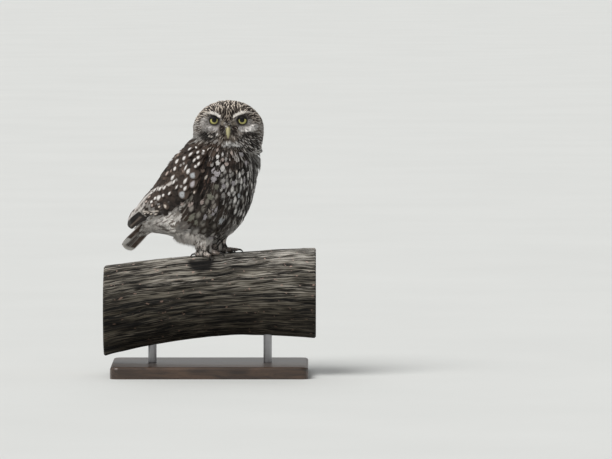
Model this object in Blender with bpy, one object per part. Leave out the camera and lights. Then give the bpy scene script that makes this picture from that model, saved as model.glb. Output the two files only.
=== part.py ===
"""A life-size still model of a little owl on a cut length of branch, held by a plain display stand.

Metres, +Z up. The origin is on the floor under the middle of the stand.
The owl is modelled in its own body frame (forward, left, up), whose origin is on top of the branch
midway between the feet, and is then turned to the heading that it has on the branch.
"""

import math
import random

import bmesh
import bpy
import numpy as np
from mathutils import Matrix, Vector

MM = 0.001
GAP = 0.3 * MM

# Driving sizes of the owl
CROWN_HEIGHT = 182 * MM
HEAD_HALF_WIDTH = 41.5 * MM
HEAD_FRONT = 35 * MM
HEAD_BACK = 38 * MM
HEAD_MIDDLE_UP = 148 * MM
HEAD_LOWER_REACH = 60 * MM
HEAD_FORWARD = 27 * MM
NECK_TOP_UP = 131 * MM
NECK_BOTTOM_RING = 6.5
HEADING = math.radians(-35)
HEAD_YAW = math.radians(-90)

DISC_HALF_WIDTH = 31 * MM
DISC_HALF_HEIGHT = 22 * MM
DISC_MIDDLE_UP = 150.5 * MM
EYE_SIDE = 16.3 * MM
EYE_UP = 159 * MM
EYE_RADIUS = 9.2 * MM
FACE_DENSITY = 1.35
LID_RADIUS = 6.3 * MM
LID_THICK = 0.95 * MM
BILL_TOP_UP = 154.3 * MM

LEG_SIDE = 12 * MM
LEG_FORWARD = {"right": 0.5 * MM, "left": 2.5 * MM}
TOE_RADIUS = 2.9 * MM
CLAW_LENGTH = 10.5 * MM
CLAW_RADIUS = 1.35 * MM
CLAW_TIP_RADIUS = 0.16 * MM
CLAW_SINK = 0.6 * MM
CLAW_STEPS = 6

TAIL_LENGTH = 82 * MM
TAIL_DROP = math.radians(40)
TAIL_FEATHERS = 12
VANE_THICK = 0.6 * MM

# Driving sizes of the branch and the stand
BRANCH_LENGTH = 250 * MM
BRANCH_TOP = 142 * MM
BRANCH_RADIUS = 49.5 * MM
BASE_LENGTH = 232 * MM
BASE_DEPTH = 168 * MM
BASE_THICK = 14 * MM
ROD_RADIUS = 5 * MM
ROD_SPREAD = 68 * MM


# Scene, materials and collections
for old in list(bpy.data.objects):
    bpy.data.objects.remove(old, do_unlink=True)

parts = bpy.data.collections.new("little_owl")
cutters = bpy.data.collections.new("cutters")
bpy.context.scene.collection.children.link(parts)
bpy.context.scene.collection.children.link(cutters)


def material(name, colour, roughness, metallic=0.0):
    made = bpy.data.materials.new(name)
    made.use_nodes = True
    shader = made.node_tree.nodes["Principled BSDF"]
    shader.inputs["Base Color"].default_value = (*colour, 1)
    shader.inputs["Roughness"].default_value = roughness
    shader.inputs["Metallic"].default_value = metallic
    return made


PLUMAGE_PALE = material("plumage_pale", (0.55, 0.50, 0.44), 0.9)
PLUMAGE_BROWN = material("plumage_brown", (0.13, 0.09, 0.065), 0.85)
LEG_DOWN = material("leg_down", (0.60, 0.52, 0.46), 0.9)
EYE_YELLOW = material("eye_yellow", (0.72, 0.66, 0.12), 0.08)
BILL_HORN = material("bill_horn", (0.50, 0.48, 0.26), 0.4)
CLAW_HORN = material("claw_horn", (0.03, 0.028, 0.027), 0.35)
BRANCH_WOOD = material("branch_wood", (0.20, 0.17, 0.14), 0.9)
STAND_WOOD = material("stand_wood", (0.06, 0.045, 0.035), 0.5)
STAND_STEEL = material("stand_steel", (0.45, 0.45, 0.46), 0.35, 1.0)


# The branch: its middle line rises to the right and its girth varies slowly
def branch_radius(x):
    return BRANCH_RADIUS + 4.0 * MM * (x / (0.5 * BRANCH_LENGTH)) ** 2


def branch_middle(x):
    rise = 0.085 * x - 0.45 * x * x
    return BRANCH_TOP - BRANCH_RADIUS + rise


def branch_top(x, y):
    """Height of the branch's smooth upper surface over a point."""
    radius = branch_radius(x)
    return branch_middle(x) + math.sqrt(max(radius * radius - y * y, 0.0))


# Frames: the body's, the head's and the world's
def body_point(forward, left, up):
    c, s = math.cos(HEADING), math.sin(HEADING)
    return Vector((forward * c - left * s, forward * s + left * c, up + BRANCH_TOP))


HEAD_FOOT = body_point(HEAD_FORWARD, 0, 0)


def head_point(side, forward, up):
    """A point from the head's middle line: side is to the head's left, forward is where it looks."""
    c, s = math.cos(HEAD_YAW), math.sin(HEAD_YAW)
    return HEAD_FOOT + Vector((forward * c - side * s, forward * s + side * c, up))


# Mesh helpers
def new_object(name, mesh, collection=parts, finish=None):
    made = bpy.data.objects.new(name, mesh)
    collection.objects.link(made)
    if finish:
        mesh.materials.append(finish)
    if collection is cutters:
        made.hide_render = True
        made.display_type = "WIRE"
    return made


def mesh_from(bm, name):
    bmesh.ops.recalc_face_normals(bm, faces=bm.faces)
    mesh = bpy.data.meshes.new(name)
    bm.to_mesh(mesh)
    bm.free()
    return mesh


def smooth_rows(rows, steps):
    """Rows of numbers joined by a Catmull-Rom curve, with this many steps between neighbours."""
    rows = np.array(rows, float)
    ends = np.vstack([2 * rows[0] - rows[1], rows, 2 * rows[-1] - rows[-2]])
    out = []
    for i in range(1, len(ends) - 2):
        for step in range(steps):
            out.append(spline_row(ends, i, step / steps))
    out.append(rows[-1])
    return np.array(out)


def spline_row(ends, i, t):
    a, b, c, d = ends[i - 1 : i + 3]
    return 0.5 * (2 * b + (c - a) * t + (2 * a - 5 * b + 4 * c - d) * t**2 + (3 * b - a - 3 * c + d) * t**3)


def row_at(rows, s):
    """The smooth table's row at a place between its stations, counted from 0."""
    rows = np.array(rows, float)
    ends = np.vstack([2 * rows[0] - rows[1], rows, 2 * rows[-1] - rows[-2]])
    i = min(int(max(s, 0.0)), len(rows) - 2)
    return spline_row(ends, i + 1, s - i)


def loft(name, rings, collection=parts, finish=None):
    """A closed body through rings of points, with a flat cap at each end."""
    bm = bmesh.new()
    grid = [[bm.verts.new(p) for p in ring] for ring in rings]
    sides = len(rings[0])
    for low, high in zip(grid, grid[1:]):
        for k in range(sides):
            bm.faces.new((low[k], low[(k + 1) % sides], high[(k + 1) % sides], high[k]))
    bm.faces.new(grid[0])
    bm.faces.new(grid[-1])
    bmesh.ops.triangulate(bm, faces=[f for f in bm.faces if len(f.verts) > 4])
    return new_object(name, mesh_from(bm, name), collection, finish)


def tube(name, path, radii, sides=8, flat=1.0, collection=parts, finish=None):
    """A tapered tube round a path. flat squashes it in the up direction."""
    path = [Vector(p) for p in path]
    rings = []
    across = None
    for i, p in enumerate(path):
        along = (path[min(i + 1, len(path) - 1)] - path[max(i - 1, 0)]).normalized()
        if across is None:
            across = along.cross(Vector((0, 0, 1)))
            if across.length < 0.2:
                across = along.cross(Vector((0, 1, 0)))
        across = (across - along * across.dot(along)).normalized()
        upward = across.cross(along)
        ring = []
        for k in range(sides):
            turn = 2 * math.pi * k / sides
            ring.append(p + radii[i] * (math.cos(turn) * across + flat * math.sin(turn) * upward))
        rings.append(ring)
    return loft(name, rings, collection, finish)


def ball(name, centre, radii, segments, rings, collection=parts, finish=None, turn=None):
    bm = bmesh.new()
    bmesh.ops.create_uvsphere(bm, u_segments=segments, v_segments=rings, radius=1.0)
    place = Matrix.Translation(centre) @ (turn or Matrix.Identity(4)) @ Matrix.Diagonal((*radii, 1))
    bmesh.ops.transform(bm, matrix=place, verts=bm.verts)
    return new_object(name, mesh_from(bm, name), collection, finish)


def vane(name, place, rows, half_width, root_sink, tip_rise, roll, thick=VANE_THICK):
    """A flat closed feather with a round tip.

    place(v, side, height) gives the point at v along it (0 root, 1 tip), side metres off its shaft.
    """
    bm = bmesh.new()
    top, bottom = [], []
    for i in range(rows + 1):
        v = i / rows
        width = half_width * (0.62 + 0.38 * math.sin(math.pi * min(v * 0.95 + 0.12, 1.0)))
        if i == rows:
            width = half_width * 0.42
        height = root_sink + (tip_rise - root_sink) * v**0.8
        for layer, shift in ((top, thick / 2), (bottom, -thick / 2)):
            row = []
            for k in (-1, 0, 1):
                pull = 1.0 if k or i < rows else 1.0 + 0.035
                camber = 0.12 * width * (1 - abs(k))
                row.append(bm.verts.new(place(v * pull, k * width, height + shift + camber + roll * k)))
            layer.append(row)
    for layer in (top, bottom):
        for i in range(rows):
            for k in range(2):
                a, b, c, d = layer[i][k], layer[i][k + 1], layer[i + 1][k + 1], layer[i + 1][k]
                bm.faces.new((a, b, c))
                bm.faces.new((a, c, d))
    rim_top = [r[0] for r in top] + [top[-1][1]] + [r[2] for r in reversed(top)] + [top[0][1]]
    rim_bottom = [r[0] for r in bottom] + [bottom[-1][1]] + [r[2] for r in reversed(bottom)] + [bottom[0][1]]
    for i in range(len(rim_top)):
        j = (i + 1) % len(rim_top)
        bm.faces.new((rim_top[i], rim_top[j], rim_bottom[j]))
        bm.faces.new((rim_top[i], rim_bottom[j], rim_bottom[i]))
    return new_object(name, mesh_from(bm, name))


# Boolean helpers
def applied(obj):
    """Puts the evaluated mesh in place of the object's own and clears its modifiers."""
    bpy.context.view_layer.update()
    graph = bpy.context.evaluated_depsgraph_get()
    mesh = bpy.data.meshes.new_from_object(obj.evaluated_get(graph))
    obj.modifiers.clear()
    obj.data = mesh
    return obj


def keep_largest(obj):
    bm = bmesh.new()
    bm.from_mesh(obj.data)
    bmesh.ops.remove_doubles(bm, verts=bm.verts, dist=0.0004 * MM)
    bmesh.ops.dissolve_degenerate(bm, edges=bm.edges, dist=0.0004 * MM)
    bmesh.ops.triangulate(bm, faces=bm.faces)
    left = set(bm.faces)
    groups = []
    while left:
        stack = [left.pop()]
        group = []
        while stack:
            face = stack.pop()
            group.append(face)
            for edge in face.edges:
                for other in edge.link_faces:
                    if other in left:
                        left.remove(other)
                        stack.append(other)
        groups.append(group)
    largest = max(groups, key=lambda g: sum(f.calc_area() for f in g))
    for group in groups:
        if group is not largest:
            bmesh.ops.delete(bm, geom=group, context="FACES")
    loose = [v for v in bm.verts if not v.link_faces]
    bmesh.ops.delete(bm, geom=loose, context="VERTS")
    bm.to_mesh(obj.data)
    bm.free()
    return obj


def boolean(obj, operation, others, solver="EXACT"):
    """Joins or cuts obj with closed meshes in one Boolean, then removes them."""
    group = bpy.data.collections.new("boolean_group")
    for other in others:
        group.objects.link(other)
    step = obj.modifiers.new("boolean", "BOOLEAN")
    step.operation = operation
    step.solver = solver
    step.operand_type = "COLLECTION"
    step.collection = group
    finish = obj.data.materials[0] if obj.data.materials else None
    applied(obj)
    if finish:
        obj.data.materials.clear()
        obj.data.materials.append(finish)
    bpy.data.collections.remove(group)
    for other in others:
        bpy.data.objects.remove(other)
    return keep_largest(obj)


def grown_copy(obj, by=GAP):
    """A cutter with every face of obj moved outwards."""
    bm = bmesh.new()
    bm.from_mesh(obj.data)
    bm.normal_update()
    moves = {}
    for v in bm.verts:
        push = Vector()
        for face in v.link_faces:
            push += face.normal * face.calc_area()
        push.normalize()
        least = min((push.dot(f.normal) for f in v.link_faces), default=1.0)
        moves[v] = push * by / max(least, 0.5)
    for v, move in moves.items():
        v.co += move
    mesh = bpy.data.meshes.new(obj.name + "_grown")
    bm.to_mesh(mesh)
    bm.free()
    return new_object(obj.name + "_grown", mesh, cutters)


def cut_clear(obj, *neighbours, by=GAP):
    return boolean(obj, "DIFFERENCE", [grown_copy(n, by) for n in neighbours])


# The torso: rings named by their back point, belly point and half-width, from tail root to neck
TORSO_RINGS = [
    # back forward, back up, belly forward, belly up, half-width
    (-93, 40, -82, 24, 15),
    (-85, 50, -59, 22, 26),
    (-75, 64, -34, 18, 37),
    (-65, 80, -2, 14, 44),
    (-54, 98, 27, 26, 46),
    (-42, 114, 47, 52, 46),
    (-32, 124, 56.5, 82, 45),
    (-25, 131, 60, 105, 44),
    (-15, 139, 56.5, 121, 39.5),
    (3, 149, 40, 133, 26),
]
TORSO_RINGS = [tuple(n * MM for n in row) for row in TORSO_RINGS]
BODY_SIDES = 24


def body_ring(row, sides=BODY_SIDES):
    """Points of one ring, from the back point round by the owl's left side."""
    back_f, back_u, belly_f, belly_u, half = row
    ring = []
    for k in range(sides):
        turn = 2 * math.pi * k / sides
        share = 0.5 - 0.5 * math.cos(turn)
        forward = back_f + (belly_f - back_f) * share
        up = back_u + (belly_u - back_u) * share
        ring.append(body_point(forward, half * math.sin(turn), up))
    return ring


def torso_part(name, first, last, step, finish):
    count = max(2, round((last - first) / step))
    rows = [row_at(TORSO_RINGS, first + (last - first) * i / count) for i in range(count + 1)]
    return loft(name, [body_ring(r) for r in rows], parts, finish)


RING_GAP = 0.018
torso = torso_part("torso", 0.0, NECK_BOTTOM_RING, 0.36, PLUMAGE_PALE)
neck = torso_part("neck", NECK_BOTTOM_RING + RING_GAP, len(TORSO_RINGS) - 1, 0.36, PLUMAGE_PALE)


# The head: a ball with its pole at the face, pressed into a facial disc with eye dishes and brows
def head_surface(direction):
    """Point in (side, forward, up-from-middle) for a unit direction from the head's middle."""
    side, ahead, high = direction
    lift = CROWN_HEIGHT - HEAD_MIDDLE_UP if high > 0 else HEAD_LOWER_REACH
    p_side = HEAD_HALF_WIDTH * side
    p_up = lift * high
    if ahead <= 0:
        return p_side, HEAD_BACK * ahead, p_up
    p_ahead = HEAD_FRONT * 1.12 * math.tanh(1.45 * ahead)
    eye_high = EYE_UP - HEAD_MIDDLE_UP
    for sign in (-1, 1):
        away = math.hypot(p_side - sign * EYE_SIDE, (p_up - eye_high) * 1.1)
        p_ahead -= 4.5 * MM * math.exp(-((away / (9 * MM)) ** 2))
    muzzle = math.hypot(p_side * 1.3, (p_up - (BILL_TOP_UP - 6 * MM - HEAD_MIDDLE_UP)) * 0.8)
    p_ahead += 2.5 * MM * math.exp(-((muzzle / (8 * MM)) ** 2))
    disc = math.hypot(p_side / DISC_HALF_WIDTH, (p_up - DISC_MIDDLE_UP + HEAD_MIDDLE_UP) / DISC_HALF_HEIGHT)
    p_ahead += 1.6 * MM * math.exp(-(((disc - 1.0) / 0.16) ** 2))
    p_ahead -= 1.5 * MM * math.exp(-(((disc - 0.78) / 0.16) ** 2))
    return p_side, p_ahead, p_up


def face_depth(side, up):
    """How far forward the face lies at a place seen from the front."""
    reach = CROWN_HEIGHT - HEAD_MIDDLE_UP if up > HEAD_MIDDLE_UP else HEAD_LOWER_REACH
    high = (up - HEAD_MIDDLE_UP) / reach
    across = side / HEAD_HALF_WIDTH
    ahead = math.sqrt(max(1 - high * high - across * across, 0.0))
    return head_surface((across, ahead, high))[1]


def make_head():
    bm = bmesh.new()
    bmesh.ops.create_uvsphere(bm, u_segments=26, v_segments=22, radius=1.0)
    bmesh.ops.rotate(bm, verts=bm.verts, cent=(0, 0, 0), matrix=Matrix.Rotation(-math.pi / 2, 3, "X"))
    for v in bm.verts:
        away = math.acos(max(-1.0, min(1.0, v.co.y)))
        closer = math.pi * (away / math.pi) ** FACE_DENSITY
        ring = math.hypot(v.co.x, v.co.z)
        stretch = math.sin(closer) / ring if ring > 1e-6 else 0.0
        side, ahead, up = head_surface((v.co.x * stretch, math.cos(closer), v.co.z * stretch))
        v.co = head_point(side, ahead, up + HEAD_MIDDLE_UP)
    return new_object("head", mesh_from(bm, "head"), parts, PLUMAGE_BROWN)


def lid(sign):
    """The rim of bare skin and tiny feathers round one eye."""
    bm = bmesh.new()
    steps, round_steps = 18, 6
    rings = []
    for i in range(steps):
        turn = 2 * math.pi * i / steps
        flatten = 0.86 if math.sin(turn) > 0 else 0.98
        depth = face_depth(EYE_SIDE + LID_RADIUS * math.cos(turn), EYE_UP + LID_RADIUS * math.sin(turn))
        ring = []
        for k in range(round_steps):
            roll = 2 * math.pi * k / round_steps
            reach = LID_RADIUS + LID_THICK * math.cos(roll)
            side = sign * (EYE_SIDE + reach * math.cos(turn))
            up = EYE_UP + flatten * reach * math.sin(turn)
            ahead = depth + 0.2 * MM + 1.2 * LID_THICK * math.sin(roll)
            ring.append(bm.verts.new(head_point(side, ahead, up)))
        rings.append(ring)
    for i in range(steps):
        for k in range(round_steps):
            a, b = rings[i], rings[(i + 1) % steps]
            bm.faces.new((a[k], a[(k + 1) % round_steps], b[(k + 1) % round_steps], b[k]))
    return new_object(f"lid_{sign}", mesh_from(bm, "lid"))


def brow(sign):
    """The frowning ridge that runs from above the bill to the outer top of the eye."""
    ends = [(3.5, 156), (7.5, 160.2), (12.5, 164.6), (18, 167.2), (23.5, 168), (28, 167)]
    path = [(s * MM, u * MM) for s, u in ends]
    radii = [1.0 * MM, 1.9 * MM, 2.4 * MM, 2.3 * MM, 1.7 * MM, 0.8 * MM]
    points = [head_point(sign * s, face_depth(s, u) + 0.2 * MM, u) for s, u in path]
    return tube(f"brow_{sign}", points, radii, 6)


def bill_ridge(name, rows, finish):
    """A hooked tube of oval rings: (forward, up, half-width, half-height, tilt of the ring in degrees)."""
    rings = []
    for ahead, up, half_wide, half_high, tilt in rows:
        lean = math.radians(tilt)
        ring = []
        for k in range(10):
            turn = 2 * math.pi * k / 10
            rise = half_high * math.sin(turn)
            ring.append(
                head_point(
                    half_wide * math.cos(turn) * MM,
                    (ahead + rise * math.sin(lean)) * MM,
                    (up + rise * math.cos(lean)) * MM,
                )
            )
        rings.append(ring)
    return loft(name, rings, parts, finish)


head = make_head()
boolean(head, "UNION", [lid(-1), lid(1), brow(-1), brow(1)])

face_front = face_depth(0, BILL_TOP_UP) / MM
bill_upper = bill_ridge(
    "bill_upper",
    [
        (face_front - 4.0, 150.1, 3.9, 4.6, 0),
        (face_front + 0.5, 150.3, 3.8, 4.7, 8),
        (face_front + 3.2, 148.9, 3.3, 4.1, 35),
        (face_front + 4.6, 145.9, 2.7, 3.2, 62),
        (face_front + 4.7, 142.5, 1.9, 2.2, 80),
        (face_front + 3.9, 139.7, 1.1, 1.2, 95),
        (face_front + 3.2, 138.3, 0.4, 0.4, 105),
    ],
    BILL_HORN,
)
nostrils = []
for sign in (-1, 1):
    spot = head_point(sign * 3.4 * MM, (face_front + 1.6) * MM, 151.5 * MM)
    nostrils.append(ball(f"nostril_{sign}", spot, (0.9 * MM,) * 3, 8, 5))
boolean(bill_upper, "DIFFERENCE", nostrils)
bill_lower = bill_ridge(
    "bill_lower",
    [
        (face_front - 4.5, 143.9, 3.1, 2.6, 0),
        (face_front - 0.5, 143.7, 2.9, 2.4, 15),
        (face_front + 1.6, 142.5, 2.0, 1.7, 40),
        (face_front + 2.6, 141.2, 0.8, 0.7, 60),
    ],
    BILL_HORN,
)
cut_clear(bill_lower, bill_upper, by=0.35 * MM)

eye_ahead = face_depth(EYE_SIDE, EYE_UP) + 2.6 * MM - EYE_RADIUS
eyes = []
for sign, side_name in ((-1, "right"), (1, "left")):
    centre = head_point(sign * EYE_SIDE, eye_ahead, EYE_UP)
    look = Matrix.Rotation(math.pi / 2, 4, "X")
    eyes.append(ball(f"eye_{side_name}", centre, (EYE_RADIUS,) * 3, 20, 12, parts, EYE_YELLOW, look))
cut_clear(head, *eyes, bill_upper, bill_lower)

def box_object(name, low, high):
    bm = bmesh.new()
    bmesh.ops.create_cube(bm, size=1.0)
    low, high = Vector(low), Vector(high)
    size = high - low
    bmesh.ops.scale(bm, vec=size, verts=bm.verts)
    bmesh.ops.translate(bm, vec=(low + high) / 2, verts=bm.verts)
    return new_object(name, mesh_from(bm, name), cutters)


cut_clear(head, neck)
below = box_object("below_head", (-0.2, -0.2, 0), (0.2, 0.2, BRANCH_TOP + NECK_TOP_UP - 9 * MM))
boolean(head, "DIFFERENCE", [below])


# Wings: an envelope of rings a little outside the torso, that runs on past the tail root
WING_RINGS = [
    (-14, 138, 67, 116, 45),
    (-30, 131, 63, 90, 49.5),
    (-44, 118, 52, 54, 51),
    (-57, 102, 31, 26, 50),
    (-69, 85, 1, 14, 47),
    (-83, 71, -31, 18, 40.5),
    (-95, 59, -58, 22, 31),
    (-105, 50, -82, 26, 22),
    (-114, 43, -99, 26, 14),
    (-122, 38, -112, 21, 8),
]
WING_RINGS = [tuple(n * MM for n in row) for row in WING_RINGS]
MIDLINE_CLEARANCE = 0.35 * MM


def wing_surface(sign, s, turn):
    """A point on the wing envelope in the body frame: turn is degrees from the back, sign -1 is the right."""
    back_f, back_u, belly_f, belly_u, half = row_at(WING_RINGS, s)
    angle = math.radians(turn)
    share = 0.5 - 0.5 * math.cos(angle)
    forward, up = back_f + (belly_f - back_f) * share, back_u + (belly_u - back_u) * share
    return Vector((forward, sign * half * math.sin(angle), up))


def wing_point(sign, s, turn, height):
    """A world point at this height off the envelope, kept on its own side of the middle plane."""
    here = wing_surface(sign, s, turn)
    along = wing_surface(sign, s + 0.05, turn) - wing_surface(sign, s - 0.05, turn)
    across = wing_surface(sign, s, turn + 2) - wing_surface(sign, s, turn - 2)
    out = along.cross(across).normalized()
    if out.dot(Vector((0, sign, 0))) + 0.4 * out.z < 0:
        out = -out
    p = here + out * height
    side = max(abs(p.y), MIDLINE_CLEARANCE)
    return body_point(p.x, sign * side, p.z)


def wing_upper_turn(s):
    return float(np.interp(s, [0, 1, 2, 4, 6, 8, 9], [52, 36, 27, 16, 9, 12, 30]))


def wing_lower_turn(s):
    return float(np.interp(s, [0, 1, 2, 3, 4, 5, 6, 7, 8, 9], [84, 104, 100, 92, 84, 78, 76, 78, 82, 85]))


def wing_core(sign, name):
    """The arm and the feather bases as one thick curved sheet, whose inner face the torso then cuts away."""
    steps, across = 12, 6
    last = 6.4
    outer, inner = [], []
    for i in range(steps + 1):
        s = 0.35 + (last - 0.35) * i / steps
        low, high = wing_upper_turn(s), wing_lower_turn(s)
        depth = float(np.interp(s, [0, 5.2, 6.4], [9, 9, 4.4])) * MM
        end_drop = 3.2 * MM * max(0.0, 1 - i / 2.0)
        outer_row, inner_row = [], []
        for k in range(across + 1):
            edge = abs(2 * k / across - 1)
            turn = low + (high - low) * k / across
            drop = (1.4 + 2.6 * edge**4) * MM + end_drop
            outer_row.append(wing_point(sign, s, turn, -drop))
            inner_row.append(wing_point(sign, s, turn, -max(depth, drop + 1.2 * MM)))
        outer.append(outer_row)
        inner.append(inner_row)
    rings = [o + list(reversed(n)) for o, n in zip(outer, inner)]
    return loft(name, rings, parts, PLUMAGE_BROWN)


def wing_vane(sign, name, start, end, half_width, sink=-2.6, rise=0.9, rows=3, roll=0.55):
    """One feather laid over the envelope from start to end, both given as (ring, turn)."""

    def place(v, side, height):
        s = start[0] + (end[0] - start[0]) * v
        turn = start[1] + (end[1] - start[1]) * v
        back_f, back_u, belly_f, belly_u, half = row_at(WING_RINGS, s)
        half = max(half, 9 * MM)
        depth = 0.5 * math.hypot(back_f - belly_f, back_u - belly_u)
        reach = math.hypot(half * math.cos(math.radians(turn)), depth * math.sin(math.radians(turn)))
        return wing_point(sign, s, turn + math.degrees(side / max(reach, 5 * MM)), height)

    return vane(name, place, rows, half_width * MM, sink * MM, rise * MM, roll * MM)


def feather_row(sign, name, count, start, end, half_width, sink, rise, rows=3, layer=0.0):
    """A row of feathers whose first and last are given by (ring, turn) at root and tip."""
    made = []
    for i in range(count):
        t = i / max(count - 1, 1)
        root = [a + (b - a) * t + chance.uniform(-0.03, 0.03) for a, b in zip(*start)]
        tip = [a + (b - a) * t + chance.uniform(-0.08, 0.08) for a, b in zip(*end)]
        width = half_width * chance.uniform(0.94, 1.06)
        lift = rise + chance.uniform(-0.15, 0.15) - layer * i
        made.append(wing_vane(sign, f"{name}_{i}", root, tip, width, sink, lift, rows))
    return made


WING_ROWS = [
    # name, count, first and last root, first and last tip (ring, turn), half-width, sink, rise, rows, layer
    ("scapular_upper", 4, ((0.7, 46), (0.9, 88)), ((2.5, 34), (2.6, 80)), 7.2, -2.0, 1.6, 3, 0.0),
    ("scapular_lower", 4, ((2.0, 32), (2.2, 66)), ((4.1, 25), (4.2, 58)), 7.4, -2.2, 1.3, 3, 0.0),
    ("median_covert", 3, ((1.7, 74), (1.3, 99)), ((3.2, 68), (2.9, 94)), 6.6, -2.2, 1.2, 3, 0.0),
    ("greater_covert", 4, ((2.9, 55), (2.5, 92)), ((4.9, 44), (4.2, 84)), 6.8, -2.6, 0.9, 3, 0.0),
    ("secondary", 6, ((4.0, 22), (3.6, 80)), ((6.1, 18), (5.3, 76)), 6.4, -2.8, 0.5, 3, 0.0),
    ("tertial", 2, ((5.2, 22), (5.2, 44)), ((7.4, 24), (7.2, 50)), 5.6, -2.8, 0.2, 3, 0.0),
    ("primary", 5, ((5.9, 34), (5.3, 74)), ((8.9, 42), (7.3, 84)), 4.8, -3.0, 0.7, 4, 0.45),
]


def wing_feathers(sign):
    made = []
    for row in WING_ROWS:
        made += feather_row(sign, *row)
    return made


chance = random.Random(7)
wings = []
for sign, side_name in ((-1, "right"), (1, "left")):
    wing = wing_core(sign, f"wing_{side_name}")
    boolean(wing, "UNION", wing_feathers(sign), "MANIFOLD")
    cut_clear(wing, torso)
    cut_clear(wing, neck)
    wings.append(wing)


# The tail: a fan of feathers out of a root of tail coverts
TAIL_RINGS = [
    (-93.5, 39.6, -82.4, 23.6, 14.6),
    (-101, 35, -92, 19.5, 12.5),
    (-108, 29, -101, 17.5, 9.5),
    (-113, 24, -109.5, 17, 5),
]
TAIL_RINGS = [tuple(n * MM for n in row) for row in TAIL_RINGS]
TAIL_ROOT = (-69 * MM, 53.2 * MM)
TAIL_ROLL = math.radians(16)
TAIL_DRIFT = -4.1 * MM
TAIL_SPREAD = 9 * MM
TAIL_ROOT_SPREAD = 5.8 * MM
TAIL_START = 0.42
TAIL_FEATHER_HALF = 4.7 * MM
TAIL_SINK = 1.5 * MM
TAIL_STEP = 1.0 * MM
LEFT_SIDE_LIFT = 0.5 * MM
OUTER_SHORTER = {-1: 0.17, 1: 0.06}


def tail_feather(index):
    """One tail feather. The middle pair lies on top and each outer one a step lower."""
    rank = index - (TAIL_FEATHERS - 1) / 2
    share = rank / ((TAIL_FEATHERS - 1) / 2)
    layer = -TAIL_STEP * (abs(rank) - 0.5) + (LEFT_SIDE_LIFT if rank > 0 else 0.0) - TAIL_SINK
    length = TAIL_LENGTH * (1 - OUTER_SHORTER[1 if rank > 0 else -1] * share * share)
    down = Vector((-math.cos(TAIL_DROP), 0, -math.sin(TAIL_DROP)))
    level = Vector((-math.sin(TAIL_DROP), 0, math.cos(TAIL_DROP)))
    left = Vector((0, math.cos(TAIL_ROLL), 0)) - level * math.sin(TAIL_ROLL)
    up = Vector((0, math.sin(TAIL_ROLL), 0)) + level * math.cos(TAIL_ROLL)

    def place(v, side, height):
        far = TAIL_START + (1 - TAIL_START) * v
        off = TAIL_DRIFT + share * (TAIL_ROOT_SPREAD + (TAIL_SPREAD - TAIL_ROOT_SPREAD) * far) + side
        p = Vector((TAIL_ROOT[0], 0, TAIL_ROOT[1])) + down * length * far + left * off + up * (height + layer)
        return body_point(p.x, p.y, p.z)

    return vane(f"tail_feather_{index}", place, 3, TAIL_FEATHER_HALF, 0, 0, 0.0)


tail_rows = smooth_rows(TAIL_RINGS, 2)
tail = loft("tail", [body_ring(r, 14) for r in tail_rows], parts, PLUMAGE_BROWN)
boolean(tail, "UNION", [tail_feather(i) for i in range(TAIL_FEATHERS)])
cut_clear(tail, torso, *wings)


# The branch: rings round its rising middle line, with shallow flutes along the grain
def make_branch():
    sides, steps = 28, 12
    rings = []
    for i in range(steps + 1):
        x = BRANCH_LENGTH * (i / steps - 0.5)
        ring = []
        for k in range(sides):
            turn = 2 * math.pi * k / sides
            twist = turn + 1.6 * x
            flute = 0.9 * math.sin(5 * twist + 0.7) + 0.7 * math.sin(9 * twist)
            under = max(0.0, -math.sin(turn))
            radius = branch_radius(x) + (flute * (0.35 + 0.65 * under) - 0.5) * MM
            ring.append((x, radius * math.cos(turn), branch_middle(x) + radius * math.sin(turn)))
        rings.append(ring)
    return loft("perch_branch", rings, parts, BRANCH_WOOD)


branch = make_branch()
hollow_spot = Vector((-9 * MM, -46 * MM, BRANCH_TOP - 14 * MM))
hollow_turn = Matrix.Rotation(math.radians(-6), 4, "Y") @ Matrix.Rotation(math.radians(-24), 4, "X")
hollow = ball("hollow", hollow_spot, (22 * MM, 9 * MM, 9 * MM), 16, 9, cutters, None, hollow_turn)
boolean(branch, "DIFFERENCE", [hollow])


# Legs and feet: toes follow the branch's round top, claws arch off their ends
def leg(sign, side_name, root):
    """A feathered leg from inside the belly down to the foot's pad."""
    rows = [(28, -3, 13), (20, -2, 11), (13, -1, 9), (8, 0, 7.6), (4, 0.5, 6.4)]
    drop = BRANCH_TOP - branch_top(root.x, root.y)
    rings = []
    for up, behind, radius in rows:
        ring = []
        for k in range(12):
            turn = 2 * math.pi * k / 12
            forward = (behind + 1.15 * radius * math.cos(turn)) * MM + LEG_FORWARD[side_name]
            left = sign * LEG_SIDE + radius * math.sin(turn) * MM
            ring.append(body_point(forward, left, up * MM - drop))
        rings.append(ring)
    return loft(f"leg_{side_name}", rings, parts, LEG_DOWN)


TOES = {
    # toe name, degrees from +X towards the viewer, length in mm
    "right": [("inner", -16, 15), ("middle", 12, 18), ("outer", 62, 13), ("hind", -172, 11)],
    "left": [("inner", 24, 17), ("middle", 4, 24), ("outer", -62, 14), ("hind", 168, 11)],
}


def toe_line(root, turn, length):
    """Points along a toe from under the leg to its tip, laid on the branch."""
    way = -math.radians(turn)
    points = []
    for share in (0.0, 0.3, 0.55, 0.8, 1.0):
        reach = share * length * MM
        x = root.x + reach * math.cos(way)
        y = root.y + reach * math.sin(way)
        knuckle = 1.0 * MM * math.sin(math.pi * share)
        points.append(Vector((x, y, branch_top(x, y) + TOE_RADIUS * (0.85 if share else 1.3) + knuckle)))
    return points


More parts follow.
